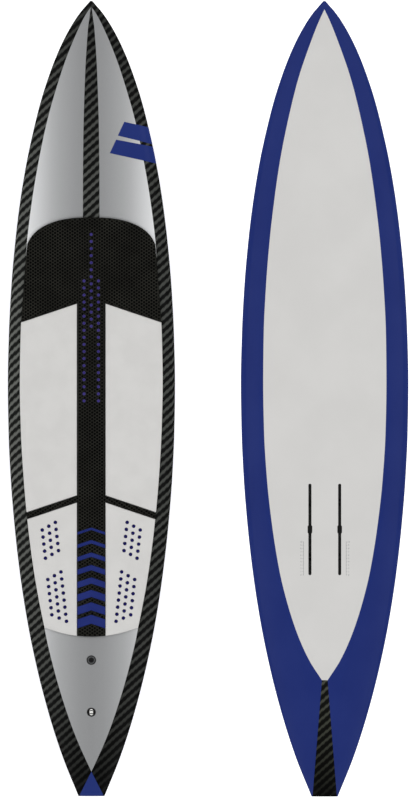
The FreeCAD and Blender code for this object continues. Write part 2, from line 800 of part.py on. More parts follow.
def build():
    outer, inner, hull_skin, deck_skin = make_skins()
    hull_inlay, tail_strip = make_hull_inlays(outer)
    deck_inlay, nose_strip, tail_patch = make_deck_inlays(outer)
    pads = make_pads(outer)
    sheet = make_standing_sheet(inner)

    # Tracks and nuts, with +X on the left of a rider who looks towards the nose
    tracks = {"left": make_track(track_x), "right": make_track(-track_x)}
    nuts = {}
    for side, x in (("left", track_x), ("right", -track_x)):
        nuts["track_nut_front_" + side] = make_nut(x, track_y - nut_spacing / 2)
        nuts["track_nut_rear_" + side] = make_nut(x, track_y + nut_spacing / 2)

    # Plugs, and the space that each takes out of the deck
    vent, vent_space = make_vent()
    leash, leash_space = make_leash_plug()
    vent_space = on_deck(vent_space, vent_share)
    leash_space = on_deck(leash_space, leash_share)

    # Hard foam blocks that carry the tracks and the leash plug, from the hull skin up to the deck skin
    mast_width = track_spacing + track_outer_width + 2 * block_side_margin
    mast_length = track_outer_length + 2 * block_end_margin
    mast_block = inner.common(block(0, track_y, -tall, mast_width, mast_length, 3 * tall)).cut(sheet)
    leash_side = 2 * (leash_radius + leash_block_margin)
    leash_block = inner.common(block(0, place(leash_share), -tall, leash_side, leash_side, 3 * tall))
    core = inner.cut(sheet).cut(mast_block).cut(leash_block).cut(vent_space)
    for _, track_space in tracks.values():
        mast_block = mast_block.cut(track_space)

    slots = Part.makeCompound([slot_opening(track_x), slot_opening(-track_x)])
    pieces = {
        "foam_core": core,
        "mast_block": mast_block,
        "leash_block": leash_block.cut(leash_space),
        "standing_area_sheet": sheet,
        "hull_inlay": hull_inlay.cut(slots),
        "hull_tail_strip": tail_strip,
        "deck_skin": deck_skin.cut([deck_inlay, nose_strip, tail_patch]).cut(vent_space).cut(leash_space),
        "deck_inlay": deck_inlay.cut(vent_space).cut(leash_space),
        "nose_strip": nose_strip,
        "tail_patch": tail_patch,
    }
    pieces.update(split_hull(hull_skin.cut(hull_inlay).cut(tail_strip).cut(slots), mast_width, mast_length))
    pieces.update(pads)
    pieces.update({"foil_track_" + side: body for side, (body, _) in tracks.items()})
    pieces.update(nuts)
    pieces.update({name: on_deck(piece, vent_share) for name, piece in vent.items()})
    pieces.update({name: on_deck(piece, leash_share) for name, piece in leash.items()})
    for name, piece in pieces.items():
        save(name, piece)

    print("volume of the board in mm3:", round(outer.Volume))
    print("tracks at y:", round(track_y, 3), "tops of lip and channel:", lip_top, channel_top)
    for name, share in (("vent", vent_share), ("leash", leash_share)):
        frame = deck_frame(share)
        axis = frame.Rotation.multVec(Vector(0, 0, 1))
        print(name, "at", [round(v, 4) for v in frame.Base], "axis", [round(v, 6) for v in axis])


build()
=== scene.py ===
import math

import bmesh
import bpy
from mathutils import Matrix, Vector
from mathutils.geometry import delaunay_2d_cdt


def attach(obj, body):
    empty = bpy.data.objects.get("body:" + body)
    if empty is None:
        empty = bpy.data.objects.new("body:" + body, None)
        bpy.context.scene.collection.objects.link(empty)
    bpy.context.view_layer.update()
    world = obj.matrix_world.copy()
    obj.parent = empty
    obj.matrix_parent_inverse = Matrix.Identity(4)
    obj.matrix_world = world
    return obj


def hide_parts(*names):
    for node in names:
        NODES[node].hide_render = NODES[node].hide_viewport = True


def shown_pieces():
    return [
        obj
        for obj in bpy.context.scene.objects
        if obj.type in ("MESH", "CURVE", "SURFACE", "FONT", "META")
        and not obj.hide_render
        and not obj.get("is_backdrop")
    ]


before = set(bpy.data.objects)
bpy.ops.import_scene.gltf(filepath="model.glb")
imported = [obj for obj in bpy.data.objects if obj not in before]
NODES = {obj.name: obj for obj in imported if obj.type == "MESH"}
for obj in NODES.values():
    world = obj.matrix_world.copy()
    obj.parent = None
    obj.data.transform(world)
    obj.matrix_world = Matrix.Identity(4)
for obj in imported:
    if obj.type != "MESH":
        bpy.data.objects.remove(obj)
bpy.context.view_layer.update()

BOARD = "board"

# Board sizes, in metres, and the rail's shares of the thickness
LENGTH = 2.413
HALF_WIDTH = 0.254
NOSE_HEIGHT = 0.160
HULL_NOSE_LIFT = 0.138
DECK_MIDDLE_HEIGHT = 0.138
DECK_TAIL_HEIGHT = 0.074
HULL_TAIL_LIFT = 0.044
HULL_FLAT_SINK = 0.003
DECK_CROWN = 0.008
EDGE_MARGIN = 0.003
SKIN = 0.003
RAIL_MIDDLE = 0.52
RAIL_FLAT = 0.12
RAIL_BULGE = (0.55, 0.22)
PROFILE_STEPS = (24, 60, 40)  # points on the hull's flat, on each half of the rail, and on the deck

# Outlines seen from above: (share of the length, share of the half width)
OUTLINE = [
    (0.0, 0.014), (0.0063, 0.066), (0.0126, 0.118), (0.0251, 0.203), (0.0503, 0.337),
    (0.0754, 0.442), (0.1006, 0.529), (0.1257, 0.604), (0.16, 0.687), (0.20, 0.770),
    (0.25, 0.850), (0.30, 0.909), (0.36, 0.959), (0.42, 0.988), (0.48, 1.0),
    (0.54, 0.992), (0.60, 0.966), (0.66, 0.920), (0.72, 0.855), (0.78, 0.767),
    (0.84, 0.650), (0.90, 0.501), (0.95, 0.347), (1.0, 0.156),
]
CHINE = [
    (0.0, 0.004), (0.012, 0.007), (0.0251, 0.064), (0.0503, 0.158), (0.10, 0.318),
    (0.15, 0.435), (0.20, 0.530), (0.25, 0.600), (0.30, 0.655), (0.36, 0.701),
    (0.42, 0.728), (0.48, 0.734), (0.54, 0.724), (0.60, 0.690), (0.66, 0.627),
    (0.72, 0.533), (0.78, 0.398), (0.84, 0.245), (0.90, 0.150), (0.95, 0.100), (1.0, 0.070),
]
DECK_EDGE = [
    (0.0, 0.006), (0.006, 0.010), (0.0126, 0.038), (0.0251, 0.1065), (0.0503, 0.216),
    (0.0754, 0.310), (0.1006, 0.3895), (0.15, 0.524), (0.20, 0.625), (0.25, 0.7055),
    (0.30, 0.765), (0.36, 0.813), (0.42, 0.849), (0.48, 0.859), (0.54, 0.846),
    (0.60, 0.813), (0.66, 0.761), (0.72, 0.686), (0.78, 0.580), (0.84, 0.4465),
    (0.90, 0.2745), (0.95, 0.165), (1.0, 0.090),
]
PANEL_TAIL = [(0.754, 0.454), (0.779, 0.382), (0.8045, 0.293), (0.83, 0.178), (0.8535, 0.034)]
PANEL_SPAN = (0.0106, 0.8535)
PANEL_BODY_END = 0.73
SILVER_TAIL = [(0.93, 0.1675), (0.9553, 0.061), (0.969, 0.0)]
SILVER_SPAN = (0.0075, 0.969)
SILVER_BODY_END = 0.905
SILVER_UNDER_PADS = (0.305, 0.805)
SILVER_PAD_OVERLAP = 0.0025
STRIP_HALF_WIDTH = 0.0252
STRIP_SPAN = (0.009, 0.2728)
STRIP_FADE = 0.03
STRIP_LARGEST_SHARE = 0.6
STRIP = [
    (0.0, 0.06), (0.021, 0.137), (0.043, 0.20), (0.083, 0.35), (0.16, 0.505), (0.28, 0.69), (0.44, 0.84),
    (0.6, 0.94), (0.8, 0.99), (1.0, 1.0),
]
TAIL_WEDGE = (0.0087, 0.037)
TAIL_PATCH_HALF_WIDTH = 0.0375

# Side view: (share of the length, share of the named height)
HULL_NOSE = [
    (0.0, 1.0), (0.05, 0.765), (0.10, 0.562), (0.15, 0.393), (0.20, 0.258), (0.25, 0.156),
    (0.30, 0.083), (0.35, 0.034), (0.40, 0.0),
]
HULL_FLAT = [(0.36, 0.0), (0.44, 0.5), (0.50, 1.0), (0.70, 1.0), (0.76, 0.5), (0.82, 0.0)]
HULL_TAIL = [(0.78, 0.0), (0.84, 0.125), (0.90, 0.37), (0.95, 0.65), (1.0, 1.0)]
DECK_FRONT = [(0.0, 1.0), (0.05, 0.90), (0.10, 0.76), (0.20, 0.48), (0.30, 0.27), (0.40, 0.11), (0.50, 0.0)]
DECK_REAR = [(0.50, 0.0), (0.60, 0.05), (0.70, 0.14), (0.80, 0.30), (0.90, 0.60), (1.0, 1.0)]
CROWN = [(0.0, 0.10), (0.05, 0.40), (0.15, 0.90), (0.30, 1.0), (0.70, 1.0), (0.90, 0.60), (1.0, 0.30)]

# Grip pads
PAD_HEIGHT = 0.0053
PAD_SINK = 0.0003
PAD_BEVEL = 0.0011
CHEVRON_BEVEL = 0.0008
DOT_BEVEL = 0.0007
HOLE_BEVEL_SHARE = 0.6
SHOULDER_OUTER, SHOULDER_INNER, SHOULDER_DROP = 0.3, 0.7, 0.25  # the rim's middle row, in shares of the bevel
PAD_POINT_GRID = (0.014, 0.016, 0.004)  # a smooth pad's inner points: column, pitch, distance from the rim
PAD_GAP = 0.0012
PAD_FRONT = 0.2719
PAD_TAIL = 0.7988
PAD_TAIL_RADIUS = 0.372
PAD_EDGE_MARGIN = 0.0015
ARCH_HALF_WIDTH = 0.2005
ARCH_DEPTH = 0.126
ARCH_FULLNESS = 0.815
GRIP_HALF_WIDTH = 0.0425
RAKE = 0.337
FRONT_PAD_TOP = 0.3799
FRONT_PAD_BOTTOM = 0.6216
BAR_WIDTH = 0.0198
INSET_GAP = 0.00025
CHEVRON_COUNT = 8
CHEVRON_FIRST = 0.6616
CHEVRON_SPACING = 0.0378
CHEVRON_WIDTH = 0.0076
CHEVRON_WIDTH_STEP = 0.0028
DOT_SPACING = 0.0214
MIDDLE_DOT_RADIUS = 0.0045
DOT_ROWS = ((0.0, 0.2933, 14), (-0.0218, 0.3517, 18), (0.0218, 0.3517, 18))  # X, first share of the length, count
DOT_CORNERS = 24
HEEL_DOT_RADIUS = 0.0052
HEEL_COLUMN_X, HEEL_COLUMN_Y, HEEL_ROW_X = 0.0198, 0.0116, 0.0024
HEEL_CLUSTERS = ((0.6647, 0.1485, (5, 5, 5)), (0.7270, 0.1316, (6, 7, 8)))
DIMPLE_COLUMN = 0.007485
DIMPLE_PITCH = 0.00999
DIMPLE_START = (0.00436, -0.00381)
DIMPLE_RADIUS = 0.0038
DIMPLE_FLOOR_RADIUS = 0.0035
DIMPLE_DEPTH = 0.0015
DIMPLE_EDGE_GAP = 0.0004
DIMPLE_CORNERS = 8
WALL_PAINTED_SHADE, RIM_PAINTED_SHADE = 0.8, 0.35  # how much painted shade darkens a dimpled pad's wall and rim beside its dimples
RIM_STEP = 0.003  # longest stretch between two points of a dimpled pad's rim

# Foil tracks, and the rulers printed beside them
TRACK_Y = 0.396697
TRACK_X = 0.045
SLOT_LENGTH = 0.277
SLOT_WIDTH = 0.0093
ENTRY_SIZE = (0.0142, 0.025)
ENTRY_CORNER = 0.004
RULER_X = 0.0652
RULER_DIGIT_X = 0.0723
RULER_ZERO_Y = 0.5345
RULER_STEP = 0.010
RULER_MARKS = 11
RULER_TEXT_SIZE = 0.0062
RULER_TICK = (0.0030, 0.0003)  # length, half width
RULER_LINE = (0.0009, 0.0012)  # width, reach past the last marks

# Plugs in the tail deck: (share of the length, radius)
VENT_HOLE = (0.8284, 0.0142)
LEASH_HOLE = (0.894, 0.0134)
VENT_HIGHLIGHT_RING = ((0.0082, 0.0088), (0.0104, 0.0110))  # the painted highlight ring's inner and outer edge

# Carbon cloth, in metres on its own map
TWILL_PITCH = 0.0259
TWILL_SLOPE = 0.90
TWILL_STEP = (0.0118, 0.0011)  # length and depth of the small steps in the bands' edges
TWILL_WANDER = 0.006
TOW_WIDTH = 0.0052

SIDES = ((1, "left"), (-1, "right"))


def curve(points):
    """A smooth curve through the points that never overshoots them, as a function."""
    at = [p[0] for p in points]
    value = [p[1] for p in points]
    last = len(points) - 1
    steps = [at[i + 1] - at[i] for i in range(last)]
    slopes = [(value[i + 1] - value[i]) / steps[i] for i in range(last)]
    tangents = [slopes[0]]
    for i in range(1, last):
        before, after = slopes[i - 1], slopes[i]
        if before * after <= 0:
            tangents.append(0.0)
        else:
            first = 2 * steps[i] + steps[i - 1]
            second = steps[i] + 2 * steps[i - 1]
            tangents.append((first + second) / (first / before + second / after))
    tangents.append(slopes[-1])

    def evaluate(share):
        if share <= at[0]:
            return value[0]
        if share >= at[-1]:
            return value[-1]
        i = max(k for k in range(last) if at[k] <= share)
        t = (share - at[i]) / steps[i]
        rise = value[i] + (value[i + 1] - value[i]) * t * t * (3 - 2 * t)
        lean = tangents[i] * t * (1 - t) ** 2 - tangents[i + 1] * t * t * (1 - t)
        return rise + lean * steps[i]

    return evaluate


outline, chine, deck_edge = curve(OUTLINE), curve(CHINE), curve(DECK_EDGE)
hull_nose, hull_flat, hull_tail = curve(HULL_NOSE), curve(HULL_FLAT), curve(HULL_TAIL)
deck_front, deck_rear, crown = curve(DECK_FRONT), curve(DECK_REAR), curve(CROWN)
panel = curve([(PANEL_SPAN[0], 0.0)] + [p for p in CHINE if 0.02 < p[0] < PANEL_BODY_END] + PANEL_TAIL)
silver = curve([(SILVER_SPAN[0], 0.0)] + [p for p in DECK_EDGE if 0.01 < p[0] < SILVER_BODY_END] + SILVER_TAIL)
strip = curve(STRIP)


def place(share):
    """The Y of a share of the length, counted from the nose tip."""
    return share * LENGTH - LENGTH / 2


def share_at(y):
    return (y + LENGTH / 2) / LENGTH


def hull_height(share):
    return HULL_NOSE_LIFT * hull_nose(share) + HULL_TAIL_LIFT * hull_tail(share) - HULL_FLAT_SINK * hull_flat(share)


def deck_height(share):
    front = (NOSE_HEIGHT - DECK_MIDDLE_HEIGHT) * deck_front(share)
    rear = (DECK_MIDDLE_HEIGHT - DECK_TAIL_HEIGHT) * deck_rear(share)
    return DECK_MIDDLE_HEIGHT + front - rear


def deck_edge_at(share):
    wide = outline(share)
    return min(HALF_WIDTH * deck_edge(share) + EDGE_MARGIN * wide, HALF_WIDTH * wide)


def deck_at(x, y):
    """Height of the crowned deck under a point inside its edge."""
    share = share_at(y)
    across = min(abs(x) / deck_edge_at(share), 1.0)
    return deck_height(share) + DECK_CROWN * crown(share) * (1 - across * across)


def deck_up(x, y):
    """The deck's upward direction at a point."""
    step = 0.002
    along = deck_at(x, y + step) - deck_at(x, y - step)
    across = deck_at(x + step, y) - deck_at(x - step, y)
    return Vector((-across / (2 * step), -along / (2 * step), 1)).normalized()


def between(first, last, count):
    return [first + (last - first) * i / count for i in range(count + 1)]


def bezier(a, b, c, d, count):
    points = []
    for t in between(0.0, 1.0, count):
        k = 1 - t
        weights = (k ** 3, 3 * k * k * t, 3 * k * t * t, t ** 3)
        points.append(tuple(sum(w * p[i] for w, p in zip(weights, (a, b, c, d))) for i in (0, 1)))
    return points


# Materials

def srgb(r, g, b):
    """A colour given as it looks on screen, from 0 to 255."""
    def linear(v):
        v /= 255
        return v / 12.92 if v <= 0.04045 else ((v + 0.055) / 1.055) ** 2.4
    return (linear(r), linear(g), linear(b), 1.0)


def add_node(tree, kind, values=None, **settings):
    """A new node with its settings made, and each input linked to a socket or given a value."""
    made = tree.nodes.new(kind)
    for key, value in settings.items():
        setattr(made, key, value)
    for key, value in (values or {}).items():
        if isinstance(value, bpy.types.NodeSocket):
            tree.links.new(value, made.inputs[key])
        else:
            made.inputs[key].default_value = value
    return made


def fill_ramp(node, tones):
    """Gives a colour ramp its stops: (place, colour)."""
    stops = node.color_ramp.elements
    while len(stops) < len(tones):
        stops.new(0.5)
    for stop, (at, tone) in zip(stops, tones):
        stop.position, stop.color = at, tone


class Finish:
    """A material's node tree, with its shader ready and short calls for its patterns."""

    def __init__(self, name, **sockets):
        self.material = bpy.data.materials.new(name)
        self.material.use_nodes = True
        self.tree = self.material.node_tree
        self.shader = self.tree.nodes["Principled BSDF"]
        for socket, value in sockets.items():
            self.shader.inputs[socket.replace("_", " ")].default_value = value

    def node(self, kind, values=None, **settings):
        return add_node(self.tree, kind, values, **settings)

    def math(self, operation, a, b=0.0, c=0.0):
        return self.node("ShaderNodeMath", {0: a, 1: b, 2: c}, operation=operation).outputs[0]

    def ramp(self, value, low, high):
        """0 below low, 1 above high, and a smooth step between."""
        made = self.node("ShaderNodeMapRange", {0: value, 1: low, 2: high}, interpolation_type="SMOOTHSTEP")
        return made.outputs[0]

    def mix(self, share, a, b):
        return self.node("ShaderNodeMix", {0: share, 6: a, 7: b}, data_type="RGBA").outputs[2]

    def wave(self, value, length):
        return self.math("SINE", self.math("MULTIPLY", value, 2 * math.pi / length))

    def split(self, vector):
        return self.node("ShaderNodeSeparateXYZ", {0: vector}).outputs

    def position(self):
        return self.node("ShaderNodeTexCoord").outputs["Object"]

    def noise(self, scale, detail=2.0, where=None, stretch=None):
        where = where or self.position()
        if stretch:
            where = self.node("ShaderNodeMapping", {0: where, 3: stretch}).outputs[0]
        made = self.node("ShaderNodeTexNoise", {"Vector": where, "Scale": scale, "Detail": detail})
        return made.outputs["Fac"]

    def colour(self, value):
        self.tree.links.new(value, self.shader.inputs["Base Color"])

    def roughness(self, value):
        self.tree.links.new(value, self.shader.inputs["Roughness"])

    def bump(self, height, strength, distance):
        made = self.node("ShaderNodeBump", {"Height": height, "Strength": strength, "Distance": distance})
        self.tree.links.new(made.outputs[0], self.shader.inputs["Normal"])

    def grainy(self, dark, light, scale):
        """Colours the surface between two tones by a fine grain, which it returns."""
        grain = self.noise(scale, 3.0)
        self.colour(self.mix(self.ramp(grain, 0.35, 0.65), dark, light))
        return grain


def carbon_finish(name, dark, light, low=-0.35, high=0.95):
    """Twill carbon under a clear coat. Its pattern follows the cloth's own map. Painted light, set by the place on
    the board, makes it brightest on the left and about halfway along, and darker towards the nose, the tail and the
    right, darks included.
    """
    made = Finish(name, Roughness=0.5, Specular_IOR_Level=0.0, Coat_Weight=0.15, Coat_Roughness=0.08)
    cloth = made.node("ShaderNodeUVMap", uv_map="cloth").outputs[0]
    across, along, _ = made.split(cloth)
    step_length, step_depth = TWILL_STEP
    stepped_across = made.math("MULTIPLY_ADD", made.wave(across, step_length), step_depth, across)
    slope = made.math("MULTIPLY", stepped_across, TWILL_SLOPE)
    wander = made.math("MULTIPLY", made.noise(9.0, 2.0, cloth), TWILL_WANDER)
    wave = made.wave(made.math("ADD", made.math("SUBTRACT", along, slope), wander), TWILL_PITCH)
    weave = made.math("MULTIPLY", made.wave(across, TOW_WIDTH), made.wave(along, TOW_WIDTH))
    band = made.ramp(made.math("ADD", wave, made.math("MULTIPLY", weave, 0.45)), low, high)
    grain = made.noise(420.0, 2.0, cloth)
    band = made.math("MULTIPLY", band, made.math("MULTIPLY_ADD", grain, 0.7, 0.62))
    x, y, _ = made.split(made.position())
    # Painted light: lighter on the left and about halfway along, darker towards the nose, the tail and the right; it
    # scales the light bands and the dark tone.
    painted_light_along = made.math("MULTIPLY_ADD", y, made.math("MULTIPLY_ADD", y, -0.59, -0.09), 1.0)
    painted_light = made.math("MULTIPLY", painted_light_along, made.math("MULTIPLY_ADD", x, 1.2, 0.77))
    made.colour(made.mix(made.math("MULTIPLY", band, painted_light), made.mix(painted_light, srgb(5, 5, 5), dark), light))
    made.bump(weave, 0.12, 0.0002)
    return made.material


SILVER_SHADE_REACH = 0.19
SILVER_TONES = (
    (0.0, 136), (0.18, 140), (0.32, 148), (0.50, 160), (0.63, 173), (0.75, 190), (0.88, 207), (1.0, 222),
)


def silver_finish():
    """Pearl paint, darker down the middle of the deck, with fine flakes."""
    made = Finish("deck_silver", Roughness=0.40, Coat_Weight=0.30, Coat_Roughness=0.07, Specular_IOR_Level=0.2)
    out = made.math("MULTIPLY", made.math("ABSOLUTE", made.split(made.position())[0]), 1 / SILVER_SHADE_REACH)
    across = made.node("ShaderNodeValToRGB", {0: out})
    fill_ramp(across, [(at, srgb(tone, tone + 1, tone + 2)) for at, tone in SILVER_TONES])
    flake = made.ramp(made.noise(2600.0, 1.0), 0.42, 0.62)
    made.colour(made.mix(made.math("MULTIPLY", flake, 0.10), across.outputs[0], srgb(236, 238, 240)))
    made.bump(made.noise(900.0, 1.0), 0.03, 0.0001)
    return made.material


def gloss_finish(name, dark, light, coat=0.25):
    """Smooth sprayed paint with a slight cloudiness and orange peel."""
    made = Finish(name, Roughness=0.45, Specular_IOR_Level=0.0, Coat_Weight=coat, Coat_Roughness=0.08)
    made.colour(made.mix(made.ramp(made.noise(5.0, 3.0), 0.3, 0.7), dark, light))
    made.bump(made.noise(700.0, 1.0), 0.04, 0.0001)
    return made.material


def foam_finish(name, dark, light, painted_shade=None):
    """Closed-cell grip foam: dull, with fine pores, and with painted shade in its dimples, where the mesh weights it.
    """
    made = Finish(name, Roughness=0.92, Specular_IOR_Level=0.1)
    pores = made.noise(1500.0, 3.0)
    body = made.mix(made.ramp(made.noise(16.0, 3.0), 0.25, 0.75), dark, light)
    body = made.mix(made.math("MULTIPLY", made.ramp(pores, 0.55, 0.75), 0.25), body, dark)
    if painted_shade:
        # Painted shade: the mesh's weight mixes the colour towards the given dark tone in dimples, walls and rims.
        depth = made.node("ShaderNodeAttribute", attribute_name="painted_shade").outputs["Fac"]
        body = made.mix(depth, body, painted_shade)
    made.colour(body)
    made.bump(pores, 0.35, 0.0003)
    return made.material


def plastic_finish(name, dark, light, roughness=0.45, painted_glow=0.0):
    """Moulded plastic with a fine spark-eroded texture. A glow, where given, is painted light that brightens a part
    sitting in shade.
    """
    made = Finish(name, Specular_IOR_Level=0.45, Emission_Color=(1.0, 1.0, 1.0, 1.0), Emission_Strength=painted_glow)
    grain = made.grainy(dark, light, 900.0)
    made.roughness(made.math("MULTIPLY_ADD", grain, 0.2, roughness - 0.1))
    made.bump(grain, 0.25, 0.0002)
    return made.material


def vent_screw_finish():
    """Moulded plastic whose head has a painted highlight: a paler ring round the socket, where its rounded rim would
    catch the light.
    """
    made = Finish("vent_screw_grey", Roughness=0.5, Specular_IOR_Level=0.45)
    centre = (0.0, place(VENT_HOLE[0]), 0.0)
    out = made.node("ShaderNodeVectorMath", {0: made.position(), 1: centre}, operation="SUBTRACT")
    out = made.node("ShaderNodeVectorMath", {0: out.outputs[0], 1: (1.0, 1.0, 0.0)}, operation="MULTIPLY")
    out = made.node("ShaderNodeVectorMath", {0: out.outputs[0]}, operation="LENGTH").outputs["Value"]
    # Painted highlight: the paler ring round the socket.
    ring = made.math("SUBTRACT", *(made.ramp(out, *edge) for edge in VENT_HIGHLIGHT_RING))
    made.colour(made.mix(ring, srgb(26, 26, 27), srgb(92, 93, 94)))
    made.bump(made.noise(900.0, 3.0), 0.25, 0.0002)
    return made.material


def metal_finish(name, dark, light, stretch=(1.0, 14.0, 14.0)):
    """Metal with fine lines along one axis."""
    made = Finish(name, Metallic=1.0)
    lines = made.noise(420.0, 3.0, stretch=stretch)
    made.colour(made.mix(made.ramp(lines, 0.3, 0.7), dark, light))
    made.roughness(made.math("MULTIPLY_ADD", lines, 0.25, 0.20))
    made.bump(lines, 0.2, 0.0001)
    return made.material


def bead_foam_finish(name, dark, light, scale):
    """Cut foam: rounded beads pressed against each other."""
    made = Finish(name, Roughness=0.9, Specular_IOR_Level=0.2)
    cells = made.node("ShaderNodeTexVoronoi", {"Vector": made.position(), "Scale": scale}).outputs["Distance"]
    made.colour(made.mix(made.ramp(cells, 0.1, 0.75), light, dark))
    made.bump(cells, 0.5, 0.0005)
    return made.material


def membrane_finish():
    made = Finish("filter_membrane", Roughness=0.85)
    made.bump(made.grainy(srgb(205, 207, 210), srgb(236, 237, 238), 2400.0), 0.4, 0.0002)
    return made.material


CARBON = carbon_finish("carbon_twill", srgb(24, 25, 24), srgb(101, 103, 99))
CARBON_DARK = carbon_finish("carbon_twill_dark", srgb(32, 33, 29), srgb(118, 121, 108), -0.1, 1.1)
SILVER = silver_finish()
HULL_BLUE = gloss_finish("hull_blue", srgb(32, 46, 110), srgb(36, 50, 114))
PANEL_GREY = gloss_finish("hull_panel_grey", srgb(208, 207, 205), srgb(212, 211, 209), coat=0.2)
DECK_BLUE = gloss_finish("deck_blue", srgb(34, 48, 111), srgb(38, 52, 115))
INK = gloss_finish("ruler_ink", srgb(120, 122, 124), srgb(134, 136, 138), coat=0.2)
# Painted shade: black, mixed into the black pad's dimples and the walls and rims beside them.
FOAM_BLACK = foam_finish("grip_foam_black", srgb(33, 33, 30), srgb(43, 43, 39), painted_shade=srgb(0, 0, 0))
FOAM_GREY = foam_finish("grip_foam_grey", srgb(207, 206, 204), srgb(212, 211, 209))
FOAM_BLUE = foam_finish("grip_foam_blue", srgb(33, 44, 108), srgb(38, 49, 114))
FOAM_VIOLET = foam_finish("grip_foam_violet", srgb(58, 51, 118), srgb(68, 60, 130))
FOAM_NAVY = foam_finish("grip_foam_navy", srgb(26, 24, 78), srgb(32, 30, 88))
PLUG_BLACK = plastic_finish("plug_plastic_black", srgb(6, 6, 6), srgb(14, 14, 14))
VENT_SCREW = vent_screw_finish()
VENT_GREY = plastic_finish("vent_plastic_grey", srgb(20, 20, 21), srgb(30, 30, 31))
# Painted light: the liner glows so that it stays pale down in the well's shade.
LINER_LIGHT = plastic_finish("plug_liner_light", srgb(232, 232, 230), srgb(244, 244, 242), painted_glow=0.22)
PIN_STEEL = metal_finish("pin_steel", srgb(92, 93, 94), srgb(120, 121, 122))
NUT_STEEL = metal_finish("nut_black_steel", srgb(26, 26, 27), srgb(44, 44, 46), stretch=(14.0, 1.0, 14.0))
SEAL_RUBBER = plastic_finish("seal_rubber", srgb(18, 18, 18), srgb(30, 30, 30), roughness=0.7)
CORE_FOAM = bead_foam_finish("core_foam", srgb(214, 216, 212), srgb(242, 243, 240), 260.0)
HARD_FOAM = bead_foam_finish("hard_foam", srgb(176, 142, 98), srgb(206, 174, 128), 1100.0)
MEMBRANE = membrane_finish()


# Mesh helpers

def object_from(name, data, material=None):
    made = bpy.data.objects.new(name, data)
    bpy.context.scene.collection.objects.link(made)
    if material:
        data.materials.clear()
        data.materials.append(material)
    return made


def mesh_from(name, work):
    """A mesh of the finished work, which is freed."""
    mesh = bpy.data.meshes.new(name)
    work.to_mesh(mesh)
    work.free()
    return mesh


def applied(thing):
    """Turns an object with modifiers into a plain mesh."""
    graph = bpy.context.evaluated_depsgraph_get()
    mesh = bpy.data.meshes.new_from_object(thing.evaluated_get(graph))
    thing.modifiers.clear()
    old, thing.data = thing.data, mesh
    bpy.data.meshes.remove(old)
    return thing


def shade(mesh, sharp_angle):
    """Smooth shading, with edges kept sharp where the surface turns by more than the angle, in degrees."""
    work = bmesh.new()
    work.from_mesh(mesh)
    limit = math.radians(sharp_angle)
    for face in work.faces:
        face.smooth = True
    for edge in work.edges:
        edge.smooth = len(edge.link_faces) == 2 and edge.calc_face_angle(0.0) < limit
    work.to_mesh(mesh)
    work.free()


def piece(thing, body, slot, *nodes, sharp=None):
    """Finishes a piece: its shading, the body it rides on and the CAD nodes it stands for. The slot is not used."""
    if sharp:
        shade(thing.data, sharp)
    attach(thing, body)
    if nodes:
        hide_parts(*nodes)
    return thing


# The shells: one grid of cross-sections from nose to tail, split where the finish changes

def hull_mark(share):
    """Half width of what lies down the middle of the hull: the grey panel, or the carbon wedge at the tail."""
    if share <= PANEL_SPAN[0]:
        return 0.0
    if share < PANEL_SPAN[1]:
        return HALF_WIDTH * panel(share)
    narrow, broad = TAIL_WEDGE
    return narrow + (broad - narrow) * (share - PANEL_SPAN[1]) / (1 - PANEL_SPAN[1])


def silver_mark(share):
    """Half width of the silver area, or of the coloured patch behind it. Its edge runs just under the pads."""
    if share <= SILVER_SPAN[0]:
        return 0.0
    if share <= SILVER_SPAN[1]:
        first, last = SILVER_UNDER_PADS
        under = min(max((share - first) / STRIP_FADE, 0.0), 1.0) * min(max((last - share) / STRIP_FADE, 0.0), 1.0)
        return HALF_WIDTH * silver(share) - SILVER_PAD_OVERLAP * under
    return TAIL_PATCH_HALF_WIDTH * (share - SILVER_SPAN[1]) / (1 - SILVER_SPAN[1])


def strip_mark(share):
    """Half width of the carbon strip on the nose, which fades out under the grip pad."""
    first, last = STRIP_SPAN
    if share <= SILVER_SPAN[0]:
        return 0.0
    at = (share - first) / (last - first)
    fade = min(max((share - last) / STRIP_FADE, 0.0), 1.0)
    return min(STRIP_HALF_WIDTH * strip(at), HALF_WIDTH * silver(share) * STRIP_LARGEST_SHARE) * (1 - fade)


def half_profile(share):
    """Fine points from the hull's middle round the rail to the deck's middle, and three of their indices."""
    wide = outline(share)
    rail = HALF_WIDTH * wide
    bottom = min(HALF_WIDTH * chine(share) + EDGE_MARGIN * wide, rail)
    top = deck_edge_at(share)
    low, high = hull_height(share), deck_height(share)
    middle = low + (high - low) * RAIL_MIDDLE
    flat = (high - low) * RAIL_FLAT / 2
    rail_low, rail_high = middle - flat, middle + flat
    lift = DECK_CROWN * crown(share)
    reach = (rail - top) / 2
    flat_steps, rail_steps, deck_steps = PROFILE_STEPS
    out, up = RAIL_BULGE
    points = [(bottom * t, low) for t in between(0.0, 1.0, flat_steps)]
    chine_at = len(points) - 1
    points += bezier(
        (bottom, low), (bottom + (rail - bottom) * out, low + (rail_low - low) * up),
        (rail, (rail_low + low) / 2), (rail, rail_low), rail_steps,
    )[1:]
    points.append((rail, middle))
    middle_at = len(points) - 1
    points += bezier(
        (rail, rail_high), (rail, (rail_high + high) / 2),
        (top + reach, high - reach * 2 * lift / top), (top, high), rail_steps,
    )
    edge_at = len(points) - 1
    points += [(top * (1 - t), high + lift * (1 - (1 - t) ** 2)) for t in between(0.0, 1.0, deck_steps)[1:]]
    return [(x, max(z, 0.0)) for x, z in points], chine_at, middle_at, edge_at


ZONE_STEPS = (10, 2, 20, 20, 2, 18, 4)
CLOTH_STEEP = 1.7  # slope above which the cloth's own length counts, and not its width seen from above


